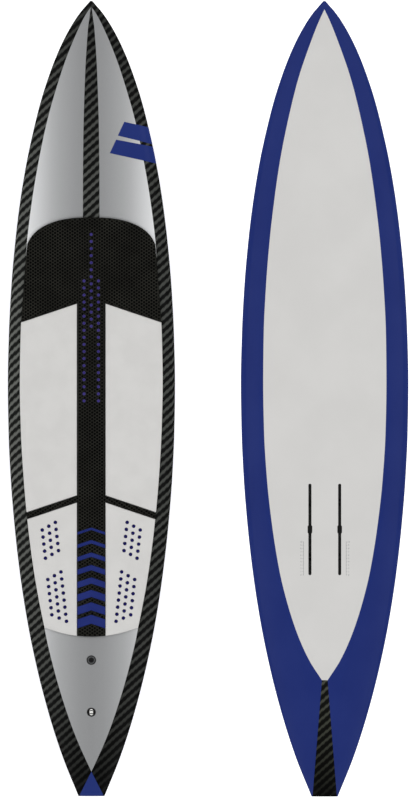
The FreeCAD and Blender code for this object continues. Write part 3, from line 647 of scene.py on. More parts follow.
def ring(share):
    """Points of one half of a cross-section at the grid's columns, each with its place on the cloth."""
    points, chine_at, middle_at, edge_at = half_profile(share)
    run, cloth = [0.0], [0.0]
    for a, b in zip(points, points[1:]):
        out, up = abs(b[0] - a[0]), abs(b[1] - a[1])
        run.append(run[-1] + math.hypot(out, up))
        cloth.append(cloth[-1] + out + max(up - CLOTH_STEEP * out, 0.0))

    def where(half, indices):
        """Distance along the profile at which its half width passes a value."""
        for i, k in zip(indices, indices[1:]):
            a, b = points[i][0], points[k][0]
            if (a - half) * (b - half) <= 0 and a != b:
                return run[i] + (run[k] - run[i]) * (half - a) / (b - a)
        return run[indices[-1]]

    hull_side = where(hull_mark(share), range(0, middle_at + 1))
    deck_indices = range(len(points) - 1, middle_at - 1, -1)
    silver_side = where(silver_mark(share), deck_indices)
    strip_side = where(strip_mark(share), deck_indices)
    marks = [
        0.0, hull_side, max(run[chine_at], hull_side), run[middle_at],
        min(run[edge_at], silver_side), silver_side, strip_side, run[-1],
    ]
    made, at = [], 0
    for zone, count in enumerate(ZONE_STEPS):
        for t in between(marks[zone], marks[zone + 1], count)[(1 if zone else 0):]:
            while at < len(run) - 2 and run[at + 1] < t:
                at += 1
            span = run[at + 1] - run[at]
            part = min(max((t - run[at]) / span, 0.0), 1.0) if span else 0.0
            x, z = (points[at][k] + (points[at + 1][k] - points[at][k]) * part for k in (0, 1))
            made.append((x, z, cloth[-1] - cloth[at] - (cloth[at + 1] - cloth[at]) * part))
    return made


def stations():
    """Shares of the length for the cross-sections: close together at the nose and where a finish starts."""
    shares = [0.0, 0.001, 0.0025, 0.0045, 0.006, 0.0075, 0.009, 0.0105, 0.0121, 0.0145, 0.0175, 0.021]
    shares += [0.025, 0.0295, 0.0345, 0.04, 0.046] + between(0.0525, 0.99, 125)
    shares += [STRIP_SPAN[1], STRIP_SPAN[1] + STRIP_FADE, PANEL_SPAN[1], PANEL_SPAN[1] + 0.0005, SILVER_SPAN[1], 1.0]
    kept = []
    for share in sorted(shares):
        if not kept or share - kept[-1] > 0.0004:
            kept.append(share)
    return kept


def zone_name(column, share):
    """Which shell a face belongs to."""
    zone, edge = 0, ZONE_STEPS[0]
    while column >= edge:
        zone += 1
        edge += ZONE_STEPS[zone]
    if zone == 0:
        return "hull_panel" if share < PANEL_SPAN[1] else "hull_tail_wedge"
    if zone < 3:
        return "hull_shell"
    if zone < 5:
        return "deck_bands"
    if zone == 5:
        return "deck_silver" if share < SILVER_SPAN[1] else "tail_patch_blue"
    return "nose_strip_carbon"


def make_shell_grids():
    """Vertices, faces and cloth map of each shell's outer surface."""
    shares = stations()
    rings = [ring(s) for s in shares]
    grids = {}

    def add(name, corners):
        made = grids.setdefault(name, {"verts": [], "index": {}, "faces": [], "cloth": []})
        face, cloth = [], []
        for point, spot in corners:
            rounded = tuple(round(c, 6) for c in point)
            if rounded not in made["index"]:
                made["index"][rounded] = len(made["verts"])
                made["verts"].append(point)
            number = made["index"][rounded]
            if number not in face:
                face.append(number)
                cloth.append((-point[0], point[1]) if name == "hull_tail_wedge" else spot)
        if len(face) > 2:
            made["faces"].append(face)
            made["cloth"].append(cloth)

    def corner(i, j, side):
        x, z, far = rings[i][j]
        y = place(shares[i])
        return ((side * x, y, z), (side * far, y))

    columns = len(rings[0]) - 1
    for side in (1, -1):
        for i in range(len(shares) - 1):
            middle = (shares[i] + shares[i + 1]) / 2
            for j in range(columns):
                corners = [corner(i + u, j + v, side) for u, v in ((0, 0), (0, 1), (1, 1), (1, 0))]
                add(zone_name(j, middle), corners[::-1] if side > 0 else corners)
        for i, flip in ((0, -1), (len(shares) - 1, 1)):
            y = place(shares[i])
            centre = ((0.0, y, (rings[i][0][1] + rings[i][-1][1]) / 2), (0.0, y))
            for j in range(columns):
                corners = [corner(i, j, side), corner(i, j + 1, side), centre]
                name = "hull_shell" if zone_name(j, 0.0).startswith("hull") else "deck_bands"
                add(name, corners[::-1] if side * flip > 0 else corners)
    return grids


def grid_mesh(name, grid):
    mesh = bpy.data.meshes.new(name)
    mesh.from_pydata(grid["verts"], [], grid["faces"])
    layer = mesh.uv_layers.new(name="cloth")
    for polygon, cloth in zip(mesh.polygons, grid["cloth"]):
        for loop, spot in zip(polygon.loop_indices, cloth):
            layer.data[loop].uv = spot
    return mesh


def thickened(thing, thickness):
    """Gives an open surface a wall on its inner side."""
    wall = thing.modifiers.new("wall", "SOLIDIFY")
    wall.thickness = thickness
    wall.offset = -1.0
    return applied(thing)


def prism_mesh(name, points, low, high):
    """An upright closed solid over a closed outline."""
    work = bmesh.new()
    bottom = [work.verts.new((x, y, low)) for x, y in points]
    face = work.faces.new(bottom)
    top = bmesh.ops.extrude_face_region(work, geom=[face])["geom"]
    for vert in (g for g in top if isinstance(g, bmesh.types.BMVert)):
        vert.co.z = high
    bmesh.ops.recalc_face_normals(work, faces=work.faces)
    return mesh_from(name, work)


def arc(x, y, radius, start, end, count):
    return [
        (x + radius * math.cos(math.radians(a)), y + radius * math.sin(math.radians(a)))
        for a in between(start, end, count)
    ]


def stadium_outline(x, y, long, wide):
    radius = wide / 2
    reach = long / 2 - radius
    return arc(x, y + reach, radius, 0, 180, 16) + arc(x, y - reach, radius, 180, 360, 16)


def rounded_outline(x, y, wide, long, radius):
    points = []
    for turn, (sx, sy) in zip((0, 90, 180, 270), ((1, 1), (-1, 1), (-1, -1), (1, -1))):
        points += arc(x + sx * (wide / 2 - radius), y + sy * (long / 2 - radius), radius, turn, turn + 90, 6)
    return points


def cut_holes(thing, outlines, low, high):
    """Cuts upright holes through a shell."""
    for points in outlines:
        cutter = object_from("cutter", prism_mesh("cutter", points, low, high))
        hole = thing.modifiers.new("hole", "BOOLEAN")
        hole.operation = "DIFFERENCE"
        hole.solver = "EXACT"
        hole.object = cutter
        applied(thing)
        bpy.data.meshes.remove(cutter.data)  # the cutter goes with its mesh
    return thing


HULL_NODES = ("hull_skin_front", "hull_skin_rear", "hull_skin_left", "hull_skin_right", "track_panel")
SHELLS = (
    # name, material, slot, CAD nodes
    ("hull_shell", HULL_BLUE, "hull_blue", HULL_NODES),
    ("hull_panel", PANEL_GREY, "hull_panel", ("hull_inlay",)),
    ("hull_tail_wedge", CARBON_DARK, "carbon", ("hull_tail_strip",)),
    ("deck_bands", CARBON, "carbon", ("deck_skin",)),
    ("deck_silver", SILVER, "deck_silver", ("deck_inlay",)),
    ("nose_strip_carbon", CARBON, "carbon", ("nose_strip",)),
    ("tail_patch_blue", DECK_BLUE, "tail_blue", ("tail_patch",)),
)
SHARP, PAD_SHARP, DOT_SHARP = 16, 40, 30  # degrees


def make_shells():
    grids = make_shell_grids()
    holes = {"hull_panel": [], "deck_silver": []}
    for x in (TRACK_X, -TRACK_X):
        holes["hull_panel"].append(stadium_outline(x, TRACK_Y, SLOT_LENGTH, SLOT_WIDTH))
        holes["hull_panel"].append(rounded_outline(x, TRACK_Y, *ENTRY_SIZE, ENTRY_CORNER))
    for share, radius in (VENT_HOLE, LEASH_HOLE):
        holes["deck_silver"].append(arc(0, place(share), radius, 0, 360, 48)[:-1])
    for name, material, slot, nodes in SHELLS:
        thing = object_from(name, grid_mesh(name, grids[name]), material)
        thickened(thing, SKIN)
        if name in holes:
            low, high = (-0.05, 0.02) if name == "hull_panel" else (0.05, 0.2)
            cut_holes(thing, holes[name], low, high)
        piece(thing, BOARD, slot, *nodes, sharp=SHARP)
    return grids


# Stripes painted over the silver and the carbon band on the right of the nose

STRIPES = {
    # inner front, outer front, outer rear, inner rear
    "front": ((-0.1004, -0.8403), (-0.1705, -0.8245), (-0.1829, -0.7736), (-0.0807, -0.7984)),
    "rear": ((-0.0755, -0.7863), (-0.1850, -0.7653), (-0.1950, -0.7147), (-0.0564, -0.7451)),
}
STRIPE_LIFT = 0.00015


def make_stripes(grids):
    work = bmesh.new()
    for name in ("deck_silver", "deck_bands"):
        grid = grids[name]
        verts = [work.verts.new(v) for v in grid["verts"]]
        for face in grid["faces"]:
            work.faces.new([verts[i] for i in face])
    bmesh.ops.remove_doubles(work, verts=work.verts, dist=1e-5)
    bmesh.ops.recalc_face_normals(work, faces=work.faces)
    work.normal_update()
    for label, corners in STRIPES.items():
        part = work.copy()
        centre = sum((Vector(c) for c in corners), Vector((0, 0))) / 4
        for a, b in ((0, 1), (2, 3), (3, 0)):
            start, end = Vector(corners[a]), Vector(corners[b])
            out = Vector((end.y - start.y, start.x - end.x)).normalized()
            if out.dot(centre - start) > 0:
                out = -out
            geometry = part.verts[:] + part.edges[:] + part.faces[:]
            bmesh.ops.bisect_plane(
                part, geom=geometry, dist=1e-6, plane_co=(start.x, start.y, 0.1),
                plane_no=(out.x, out.y, 0), clear_outer=True,
            )
        part.normal_update()
        for vert in part.verts:
            vert.co += vert.normal * STRIPE_LIFT
        name = "nose_stripe_" + label
        thing = thickened(object_from(name, mesh_from(name, part), DECK_BLUE), 2 * STRIPE_LIFT)
        piece(thing, BOARD, "tail_blue", sharp=SHARP)
    work.free()


# Grip pads

def pad_side(share):
    return HALF_WIDTH * silver(share) - PAD_EDGE_MARGIN


def field_side():
    """The pad area's left edge, from the middle of the arch to the rear corner."""
    front = place(PAD_FRONT)
    arch_end = front + ARCH_DEPTH
    points = []
    for turn in between(0.0, math.pi / 2, 48):
        x = ARCH_HALF_WIDTH * math.sin(turn) ** ARCH_FULLNESS
        y = arch_end - ARCH_DEPTH * math.cos(turn) ** ARCH_FULLNESS
        points.append((min(x, pad_side(share_at(y))), y))
    rear = place(PAD_TAIL)
    corner_x = pad_side(share_at(rear))
    corner_y = rear - (PAD_TAIL_RADIUS - math.sqrt(PAD_TAIL_RADIUS ** 2 - corner_x ** 2))
    points += [(pad_side(share_at(y)), y) for y in between(arch_end, corner_y, 90)[1:]]
    return points


def tail_arc(first_x, last_x, count=14):
    """The round tail end of the pads between two places across it."""
    rear = place(PAD_TAIL)
    drop = PAD_TAIL_RADIUS
    return [(x, rear - (drop - math.sqrt(drop ** 2 - x ** 2))) for x in between(first_x, last_x, count)]


SIDE = field_side()


def rake_line(top, x, inner):
    return top + (x - inner) * RAKE


def side_between(top, bottom, inner):
    """The stretch of the side edge between two raked lines. None stands for the edge's own start or end."""
    def crossing(level):
        for (xa, ya), (xb, yb) in zip(SIDE, SIDE[1:]):
            a, b = ya - rake_line(level, xa, inner), yb - rake_line(level, xb, inner)
            if xa > GRIP_HALF_WIDTH and a <= 0 < b:
                t = a / (a - b)
                return (xa + (xb - xa) * t, ya + (yb - ya) * t)
        raise ValueError("the raked line misses the pads' edge")

    first = SIDE[0] if top is None else crossing(top)
    last = SIDE[-1] if bottom is None else crossing(bottom)
    return [first] + [p for p in SIDE if first[1] < p[1] < last[1] and p[0] > 1e-6] + [last]


def whole(half):
    """A closed outline from its left half, whose ends lie on the centre line."""
    mirrored = [(-x, y) for x, y in reversed(half) if x > 1e-6]
    return half + mirrored


def chevron_edge(index, rear, gap):
    """Left half of the front or the rear edge of a chevron, from the centre line out."""
    top = place(CHEVRON_FIRST) + CHEVRON_SPACING * index - gap
    if rear:
        top += CHEVRON_WIDTH + CHEVRON_WIDTH_STEP * index + 2 * gap
    return [(x, top + x * RAKE) for x in between(0.0, GRIP_HALF_WIDTH, 3)]


BAR_TOP = place(FRONT_PAD_BOTTOM)
BAR_BOTTOM = BAR_TOP + BAR_WIDTH
FRONT_TOP = place(FRONT_PAD_TOP)
GREY_INNER = GRIP_HALF_WIDTH + PAD_GAP


def grip_outlines():
    """The black pad's islands: the large one in front, and one behind each chevron."""
    inner = GRIP_HALF_WIDTH
    half = side_between(None, FRONT_TOP, inner) + [(inner, FRONT_TOP), (inner, BAR_TOP)]
    half += side_between(BAR_TOP, BAR_BOTTOM, inner) + [(inner, BAR_BOTTOM)]
    half += chevron_edge(0, False, INSET_GAP)[::-1]
    islands = [whole(half)]
    for i in range(CHEVRON_COUNT):
        front = chevron_edge(i, True, INSET_GAP)
        if i + 1 < CHEVRON_COUNT:
            rear = chevron_edge(i + 1, False, INSET_GAP)[::-1]
        else:
            rear = tail_arc(inner, 0.0, 6)
        islands.append(whole(front + rear))
    return islands


def chevron_outlines():
    return [
        whole(chevron_edge(i, False, 0.0) + chevron_edge(i, True, 0.0)[::-1]) for i in range(CHEVRON_COUNT)
    ]


def foot_pad_outline(top, bottom, side):
    """A grey foot pad on the left or the right."""
    inner = GREY_INNER
    points = [(inner, top)] + side_between(top, bottom, inner)
    if bottom is None:
        points += tail_arc(SIDE[-1][0], inner)[1:]
    else:
        points.append((inner, bottom))
    return [(side * x, y) for x, y in points]


def middle_dot_spots():
    return [(x, place(first) + DOT_SPACING * i) for x, first, count in DOT_ROWS for i in range(count)]


def heel_dot_spots(side):
    spots = []
    for share, offset, counts in HEEL_CLUSTERS:
        for column, count in enumerate(counts):
            for row in range(count):
                x = offset - HEEL_COLUMN_X * column - HEEL_ROW_X * row
                spots.append((side * x, place(share) - HEEL_COLUMN_Y * column + DOT_SPACING * row))
    return spots


SAME_POINT = 2e-5
MITRE_LIMIT = 0.8


def edges_of(loop):
    return zip(loop, loop[1:] + loop[:1])


def area(points):
    return sum(a[0] * b[1] - b[0] * a[1] for a, b in edges_of(points)) / 2


def tidy_loop(points):
    """Counter-clockwise, with no point on top of the next."""
    kept = []
    for p in points if area(points) > 0 else points[::-1]:
        if not kept or math.dist(p, kept[-1]) > SAME_POINT:
            kept.append(p)
    if math.dist(kept[0], kept[-1]) < SAME_POINT:
        kept.pop()
    return kept


def stepped(points, step):
    """The loop with points added, so that no two neighbours lie further apart than the step."""
    made = []
    for (ax, ay), (bx, by) in edges_of(points):
        count = max(math.ceil(math.hypot(bx - ax, by - ay) / step), 1)
        made += [(ax + (bx - ax) * i / count, ay + (by - ay) * i / count) for i in range(count)]
    return made


def drawn_in(points, inset):
    """The loop moved to its left by the inset, with mitred corners."""
    made = []
    for i, p in enumerate(points):
        a, b = points[i - 1], points[(i + 1) % len(points)]
        before = Vector((p[0] - a[0], p[1] - a[1])).normalized()
        after = Vector((b[0] - p[0], b[1] - p[1])).normalized()
        left = Vector((-before.y, before.x)) + Vector((-after.y, after.x))
        scale = inset * 2 / max(left.length_squared, MITRE_LIMIT)
        made.append((p[0] + left.x * scale, p[1] + left.y * scale))
    return made


def distance_to(loop, x, y):
    best = 1.0
    for (ax, ay), (bx, by) in edges_of(loop):
        dx, dy = bx - ax, by - ay
        t = min(max(((x - ax) * dx + (y - ay) * dy) / (dx * dx + dy * dy), 0.0), 1.0)
        best = min(best, math.hypot(ax + dx * t - x, ay + dy * t - y))
    return best


def inside(loop, x, y):
    odd = False
    for (ax, ay), (bx, by) in edges_of(loop):
        if (ay > y) != (by > y) and x < ax + (bx - ax) * (y - ay) / (by - ay):
            odd = not odd
    return odd


def spots_inside(loop, column, pitch, margin, holes, start=(0.0, 0.0)):
    """Staggered grid of places inside a loop, clear of its edge and of the round holes."""
    xs, ys = [p[0] for p in loop], [p[1] for p in loop]
    made = []
    for i in range(int(min(xs) / column) - 2, int(max(xs) / column) + 2):
        x = start[0] + column * i
        shift = start[1] + (pitch / 2 if i % 2 else 0.0)
        for j in range(int((min(ys) - shift) / pitch) - 1, int((max(ys) - shift) / pitch) + 2):
            y = j * pitch + shift
            clear = all(math.hypot(x - hx, y - hy) >= r + margin for hx, hy, r in holes)
            if clear and inside(loop, x, y) and distance_to(loop, x, y) > margin:
                made.append((x, y))
    return made


def dimple_points(rim, holes):
    """The corners of the dimples, cut off at the rim and the holes: X, Y and the depth below the pad's top."""
    clear = DIMPLE_RADIUS + DIMPLE_EDGE_GAP
    for x, y in spots_inside(rim, DIMPLE_COLUMN, DIMPLE_PITCH, 0.0, holes, DIMPLE_START):
        cut = distance_to(rim, x, y) < clear
        near = [h for h in holes if math.hypot(x - h[0], y - h[1]) < h[2] + clear]
        for radius, depth in ((DIMPLE_RADIUS, 0.0), (DIMPLE_FLOOR_RADIUS, DIMPLE_DEPTH)):
            for u, v in arc(x, y, radius, 15, 375, DIMPLE_CORNERS)[:-1]:
                if cut and not (inside(rim, u, v) and distance_to(rim, u, v) > DIMPLE_EDGE_GAP):
                    continue
                if all(math.hypot(u - a, v - b) >= r + DIMPLE_EDGE_GAP for a, b, r in near):
                    yield u, v, depth


def pad_mesh(name, islands, holes, dimples, bevel):
    """A foam pad on the deck: walls, a bevelled rim, and a top that follows the deck's crown."""
    verts, faces, painted_shade = [], [], []

    def add(x, y, lift, dark=0.0):
        verts.append((x, y, deck_at(x, y) + lift))
        painted_shade.append(dark)
        return len(verts) - 1

    for points in islands:
        loop = tidy_loop(points)
        rim_of = drawn_in(loop, bevel)
        own = [h for h in holes if inside(loop, h[0], h[1])]
        around = [(x, y, r + bevel) for x, y, r in own]
        fine = stepped(loop, RIM_STEP) if dimples else loop
        loops = [(fine, drawn_in(fine, bevel))]
        loops += [
            [arc(x, y, radius, 360, 0, DOT_CORNERS)[:-1] for radius in (r, r + bevel * HOLE_BEVEL_SHARE)]
            for x, y, r in own
        ]
        # Painted shade: on a dimpled pad the walls and rims get part of the darkening weight, the dimple floors all
        # of it.
        wall, rim = (WALL_PAINTED_SHADE, RIM_PAINTED_SHADE) if dimples else (0.0, 0.0)
        flat, numbers, edges, holes_of = [], [], [], []

        def put(x, y, lift=PAD_HEIGHT, dark=0.0):
            """Adds a point of the pad's top, between its rims."""
            flat.append(Vector((x, y)))
            numbers.append(add(x, y, lift, dark))
            holes_of.append(0)

        for k, (outer, inner) in enumerate(loops):
            shoulder = [
                (x * SHOULDER_OUTER + u * SHOULDER_INNER, y * SHOULDER_OUTER + v * SHOULDER_INNER)
                for (x, y), (u, v) in zip(outer, inner)
            ]
            levels = (
                (outer, -PAD_SINK, wall), (outer, PAD_HEIGHT - bevel, wall),
                (shoulder, PAD_HEIGHT - bevel * SHOULDER_DROP, wall), (inner, PAD_HEIGHT, rim),
            )
            rows = [[add(x, y, lift, dark) for x, y in spots] for spots, lift, dark in levels]
            count = len(outer)
            for lower, upper in zip(rows, rows[1:]):
                for i in range(count):
                    n = (i + 1) % count
                    faces.append((lower[i], lower[n], upper[n], upper[i]))
            base = len(flat)
            flat += [Vector(p) for p in inner]
            numbers += rows[3]
            holes_of += [k] * count
            edges += [(base + i, base + (i + 1) % count) for i in range(count)]
        if dimples:
            for x, y, depth in dimple_points(rim_of, around):
                put(x, y, PAD_HEIGHT - depth, 1.0 if depth else 0.0)
        else:
            for x, y in spots_inside(rim_of, *PAD_POINT_GRID, around):
                put(x, y)
        out, _, triangles, origin, _, _ = delaunay_2d_cdt(flat, edges, [], 1, 1e-7)
        index = []
        for point, sources in zip(out, origin):
            index.append(sources[0] if sources else len(flat))
            if not sources:
                put(point.x, point.y)
        for triangle in triangles:
            picked = [index[i] for i in triangle]
            rings = {holes_of[i] for i in picked}
            if rings == {0} or len(rings) > 1:
                faces.append([numbers[i] for i in picked])
    mesh = bpy.data.meshes.new(name)
    mesh.from_pydata(verts, [], faces)
    # Painted shade weights, read by the foam's finish.
    layer = mesh.attributes.new("painted_shade", "FLOAT", "POINT")
    layer.data.foreach_set("value", painted_shade)
    return mesh


def close_bottom(mesh):
    """Closes the open underside of a pad."""
    work = bmesh.new()
    work.from_mesh(mesh)
    edges = [e for e in work.edges if e.is_boundary]
    bmesh.ops.triangle_fill(work, use_beauty=True, edges=edges)
    bmesh.ops.recalc_face_normals(work, faces=work.faces)
    work.to_mesh(mesh)
    work.free()


def make_pad(name, material, slot, nodes, islands, holes=(), dimples=False, bevel=PAD_BEVEL):
    mesh = pad_mesh(name, islands, holes, dimples, bevel)
    close_bottom(mesh)
    thing = piece(object_from(name, mesh, material), BOARD, slot, *nodes, sharp=PAD_SHARP)


def make_pads():
    middle_holes = [(x, y, MIDDLE_DOT_RADIUS + INSET_GAP) for x, y in middle_dot_spots()]
    black_nodes = ("middle_grip_pad", "middle_grip_islands")
    make_pad("grip_middle", FOAM_BLACK, "foam_black", black_nodes, grip_outlines(), middle_holes, True)
    make_pad("grip_chevrons", FOAM_BLUE, "foam_blue", ("middle_grip_chevrons",), chevron_outlines(),
             bevel=CHEVRON_BEVEL)
    for side, label in SIDES:
        front = foot_pad_outline(FRONT_TOP + PAD_GAP, BAR_TOP - PAD_GAP, side)
        make_pad("foot_pad_front_" + label, FOAM_GREY, "foam_grey", ("front_foot_pad_" + label,), [front])
        rear = foot_pad_outline(BAR_BOTTOM + PAD_GAP, None, side)
        heel_holes = [(x, y, HEEL_DOT_RADIUS + INSET_GAP) for x, y in heel_dot_spots(side)]
        make_pad("foot_pad_rear_" + label, FOAM_GREY, "foam_grey", ("rear_foot_pad_" + label,), [rear], heel_holes)


# Round foam inlays: one disc on each spot

def input_id(tree, name):
    return next(i.identifier for i in tree.interface.items_tree if i.name == name)


def dots_tree():
    """Puts a disc with a bevelled rim on every point, square to the deck."""
    tree = bpy.data.node_groups.new("foam_dots", "GeometryNodeTree")
    for name, kind, way in (
        ("Geometry", "Geometry", "INPUT"), ("Radius", "Float", "INPUT"), ("Height", "Float", "INPUT"),
        ("Bevel", "Float", "INPUT"), ("Finish", "Material", "INPUT"), ("Geometry", "Geometry", "OUTPUT"),
    ):
        tree.interface.new_socket(name, in_out=way, socket_type="NodeSocket" + kind)

    def node(kind, values=None, **settings):
        return add_node(tree, kind, values, **settings).outputs

    def less(a, b):
        return node("ShaderNodeMath", {0: a, 1: b}, operation="SUBTRACT")[0]

    def cone(upper, depth):
        sizes = {"Vertices": DOT_CORNERS, "Radius Bottom": radius, "Radius Top": upper, "Depth": depth}
        return node("GeometryNodeMeshCone", sizes, fill_type="NONE")["Mesh"]

    def circle(size):
        return node("GeometryNodeMeshCircle", {"Vertices": DOT_CORNERS, "Radius": size}, fill_type="NGON")[0]

    def raised(source, level):
        along = node("ShaderNodeCombineXYZ", {"Z": level})[0]
        return node("GeometryNodeTransform", {"Geometry": source, "Translation": along})[0]

    given = node("NodeGroupInput")
    radius, height, bevel = given["Radius"], given["Height"], given["Bevel"]
    wall, top = less(height, bevel), less(radius, bevel)
    floor = node("GeometryNodeFlipFaces", {0: circle(radius)})[0]
    join = tree.nodes.new("GeometryNodeJoinGeometry")
    for part in (cone(radius, wall), raised(cone(top, bevel), wall), raised(circle(top), height), floor):
        tree.links.new(part, join.inputs[0])
    disc = node("GeometryNodeMergeByDistance", {"Geometry": join.outputs[0], "Distance": 0.00001})[0]
    up = node("GeometryNodeInputNamedAttribute", {"Name": "up"}, data_type="FLOAT_VECTOR")["Attribute"]
    turn = node("FunctionNodeAlignEulerToVector", {"Vector": up}, axis="Z")[0]
    spots = {"Points": given["Geometry"], "Instance": disc, "Rotation": turn}
    real = node("GeometryNodeRealizeInstances", {0: node("GeometryNodeInstanceOnPoints", spots)[0]})[0]
    finished = node("GeometryNodeSetMaterial", {"Geometry": real, "Material": given["Finish"]})[0]
    add_node(tree, "NodeGroupOutput", {0: finished})
    return tree


def make_dots(name, tree, spots, radius, material, node):
    mesh = bpy.data.meshes.new(name)
    mesh.from_pydata([(x, y, deck_at(x, y) - PAD_SINK) for x, y in spots], [], [])
    up = mesh.attributes.new("up", "FLOAT_VECTOR", "POINT")
    for i, (x, y) in enumerate(spots):
        up.data[i].vector = deck_up(x, y)
    thing = object_from(name, mesh)
    nodes = thing.modifiers.new("dots", "NODES")
    nodes.node_group = tree
    values = {"Radius": radius, "Height": PAD_HEIGHT + PAD_SINK, "Bevel": DOT_BEVEL, "Finish": material}
    for key, value in values.items():
        nodes[input_id(tree, key)] = value
    piece(applied(thing), BOARD, "foam_blue", node, sharp=DOT_SHARP)


def make_all_dots():
    tree = dots_tree()
    make_dots("grip_dots", tree, middle_dot_spots(), MIDDLE_DOT_RADIUS, FOAM_VIOLET, "middle_grip_dots")
    for side, label in SIDES:
        make_dots("heel_dots_" + label, tree, heel_dot_spots(side), HEEL_DOT_RADIUS, FOAM_NAVY,
                  "rear_pad_dots_" + label)


# Rulers printed on the hull beside the tracks

INK_THICKNESS = 0.00006


def printed_text(text, x, y, size):
    """A number printed on the hull, readable from below with the nose up."""
    letters = bpy.data.curves.new("number", "FONT")
    letters.body = text
    letters.size = size
    letters.align_x = "CENTER"
    letters.align_y = "CENTER"
    letters.extrude = INK_THICKNESS
    thing = object_from("number", letters)
    graph = bpy.context.evaluated_depsgraph_get()
    mesh = bpy.data.meshes.new_from_object(thing.evaluated_get(graph))
    bpy.data.objects.remove(thing)
    bpy.data.curves.remove(letters)
    mesh.transform(Matrix(((1, 0, 0, x), (0, -1, 0, y), (0, 0, -1, 0), (0, 0, 0, 1))))
    return mesh


def bar(work, x0, x1, y0, y1):
    """A thin flat printed bar on the hull's flat."""
    corners = [
        work.verts.new((x, y, z))
        for z in (-INK_THICKNESS, INK_THICKNESS) for x, y in ((x0, y0), (x1, y0), (x1, y1), (x0, y1))
    ]
    for face in ((3, 2, 1, 0), (4, 5, 6, 7), (0, 1, 5, 4), (1, 2, 6, 5), (2, 3, 7, 6), (3, 0, 4, 7)):
        work.faces.new([corners[i] for i in face])


def make_rulers():
    for side, label in SIDES:
        work = bmesh.new()
        first, last = RULER_ZERO_Y, RULER_ZERO_Y - RULER_STEP * (RULER_MARKS - 1)
        (tick_length, tick_half), (line_width, line_reach) = RULER_TICK, RULER_LINE
        for mark in range(RULER_MARKS):
            y = first - RULER_STEP * mark
            mesh = printed_text(str(mark), side * RULER_DIGIT_X, y, RULER_TEXT_SIZE)
            work.from_mesh(mesh)
            bpy.data.meshes.remove(mesh)
            x0, x1 = sorted((side * RULER_X, side * (RULER_X + tick_length)))
            bar(work, x0, x1, y - tick_half, y + tick_half)
        x0, x1 = sorted((side * (RULER_X - line_width), side * RULER_X))
        bar(work, x0, x1, last - line_reach, first + line_reach)
        name = "hull_ruler_" + label
        piece(object_from(name, mesh_from(name, work), INK), BOARD, "plug_black")


# CAD nodes that are shown as they are, with their finishes

CARRIED = (
    (CORE_FOAM, ("foam_core",)),
    (HARD_FOAM, ("mast_block", "leash_block", "standing_area_sheet")),
    (PLUG_BLACK, ("foil_track_left", "foil_track_right", "vent_filter_ring", "leash_cup")),
    (NUT_STEEL, ["track_nut_%s_%s" % (end, label) for end in ("front", "rear") for _, label in SIDES]),
    (VENT_GREY, ("vent_housing",)),
    (VENT_SCREW, ("vent_screw",)),
    (SEAL_RUBBER, ("vent_seal",)),
    (MEMBRANE, ("vent_filter",)),
    (LINER_LIGHT, ("leash_cup_liner",)),
    (PIN_STEEL, ("leash_pins",)),
)


def dress_nodes():
    for material, names in CARRIED:
        for name in names:
            slots = NODES[name].data.materials
            slots.clear()
            slots.append(material)


# Setting: floor, light, camera, and the second view of the board

CAMERA_REACH = 40.0
CAMERA_X = -0.3541
CAMERA_Y = 0.0032
VIEW_HEIGHT = 2.4264
SENSOR = 36.0
UNDERSIDE_X = -0.7084
UNDERSIDE_Y = -0.0018
UNDERSIDE_GROWTH = 1.0023
UNDERSIDE_HEIGHT = 5.0
FLOOR_REACH = 60.0
FLOOR_DROP = 0.0006
FLOOR_GLOW = 0.62
SKY_TONES = ((0.0, 0.10), (0.03, 0.85), (0.55, 0.85), (0.97, 0.22))  # from the nadir to the zenith
SKY_STRENGTH = 0.62
SUN_TURNS = (35, 145, 215, 325)
SUN_TILT = 48
SUN_ANGLE = 35
SUN_POWER = 0.73


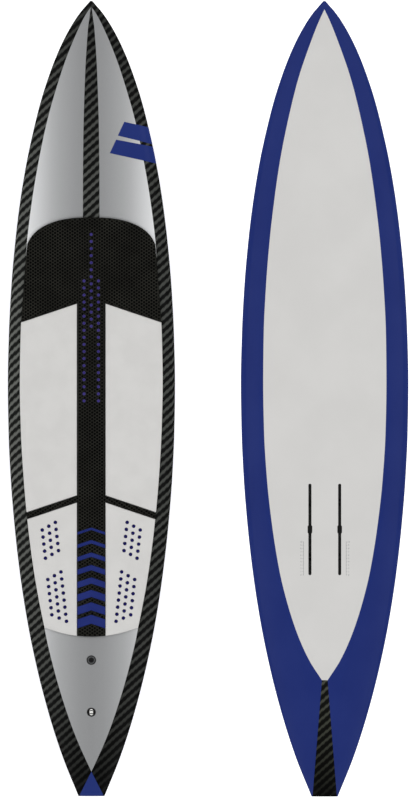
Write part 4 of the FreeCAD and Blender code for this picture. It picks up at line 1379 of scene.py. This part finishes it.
def studio_floor():
    work = bmesh.new()
    bmesh.ops.create_grid(work, x_segments=1, y_segments=1, size=FLOOR_REACH)
    mesh = mesh_from("studio_floor", work)
    mesh.transform(Matrix.Translation((0, 0, -FLOOR_DROP)))
    made = Finish("studio_floor", Roughness=0.9, Specular_IOR_Level=0.0,
                  Emission_Color=(1.0, 1.0, 1.0, 1.0), Emission_Strength=FLOOR_GLOW)
    made.colour(made.mix(made.noise(3.0), (0.80, 0.80, 0.80, 1.0), (0.82, 0.82, 0.82, 1.0)))
    floor = object_from("studio_floor", mesh, made.material)
    floor.visible_glossy = False
    floor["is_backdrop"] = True


def studio_light():
    world = bpy.data.worlds.new("studio")
    bpy.context.scene.world = world
    world.use_nodes = True
    tree = world.node_tree
    where = add_node(tree, "ShaderNodeTexCoord").outputs["Generated"]
    height = add_node(tree, "ShaderNodeSeparateXYZ", {0: where}).outputs[2]
    ramp = add_node(tree, "ShaderNodeValToRGB", {0: height})
    fill_ramp(ramp, [(at, (light, light, light, 1.0)) for at, light in SKY_TONES])
    sky = tree.nodes["Background"].inputs
    tree.links.new(ramp.outputs[0], sky["Color"])
    sky["Strength"].default_value = SKY_STRENGTH
    for i, turn in enumerate(SUN_TURNS):
        lamp = bpy.data.lights.new("soft_sun_%d" % i, "SUN")
        lamp.energy = SUN_POWER
        lamp.angle = math.radians(SUN_ANGLE)
        made = object_from(lamp.name, lamp)
        made.rotation_euler = (math.radians(SUN_TILT), 0, math.radians(turn))
        made.visible_glossy = False


def camera():
    lens = bpy.data.cameras.new("camera")
    lens.sensor_fit = "AUTO"
    lens.sensor_width = SENSOR
    lens.lens = SENSOR * CAMERA_REACH / VIEW_HEIGHT
    lens.clip_start, lens.clip_end = 1.0, 200.0
    made = object_from("camera", lens)
    height = DECK_MIDDLE_HEIGHT + CAMERA_REACH
    made.matrix_world = Matrix((
        (-1, 0, 0, CAMERA_X), (0, -1, 0, CAMERA_Y), (0, 0, 1, height), (0, 0, 0, 1),
    ))
    bpy.context.scene.camera = made


def underside_view():
    """The photograph shows the board twice. This stage copy, hung far above the first, shows its hull beside it."""
    shown = bpy.data.collections.new("board_again")
    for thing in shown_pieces():
        shown.objects.link(thing)
    made = object_from("underside_view", None)
    made.instance_type = "COLLECTION"
    made.instance_collection = shown
    eye = DECK_MIDDLE_HEIGHT + CAMERA_REACH
    scale = (eye - UNDERSIDE_HEIGHT) / CAMERA_REACH
    x = CAMERA_X + (UNDERSIDE_X - CAMERA_X) * scale
    y = CAMERA_Y + (UNDERSIDE_Y - CAMERA_Y) * scale
    size = scale * UNDERSIDE_GROWTH
    made.matrix_world = Matrix((
        (-size, 0, 0, x), (0, size, 0, y), (0, 0, -size, UNDERSIDE_HEIGHT), (0, 0, 0, 1),
    ))
    for kind in ("shadow", "diffuse", "glossy", "transmission"):
        setattr(made, "visible_" + kind, False)
    made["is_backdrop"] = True


make_stripes(make_shells())
make_pads()
make_all_dots()
make_rulers()
dress_nodes()
studio_floor()
studio_light()
camera()
underside_view()
bpy.context.scene.view_settings.view_transform = "Standard"
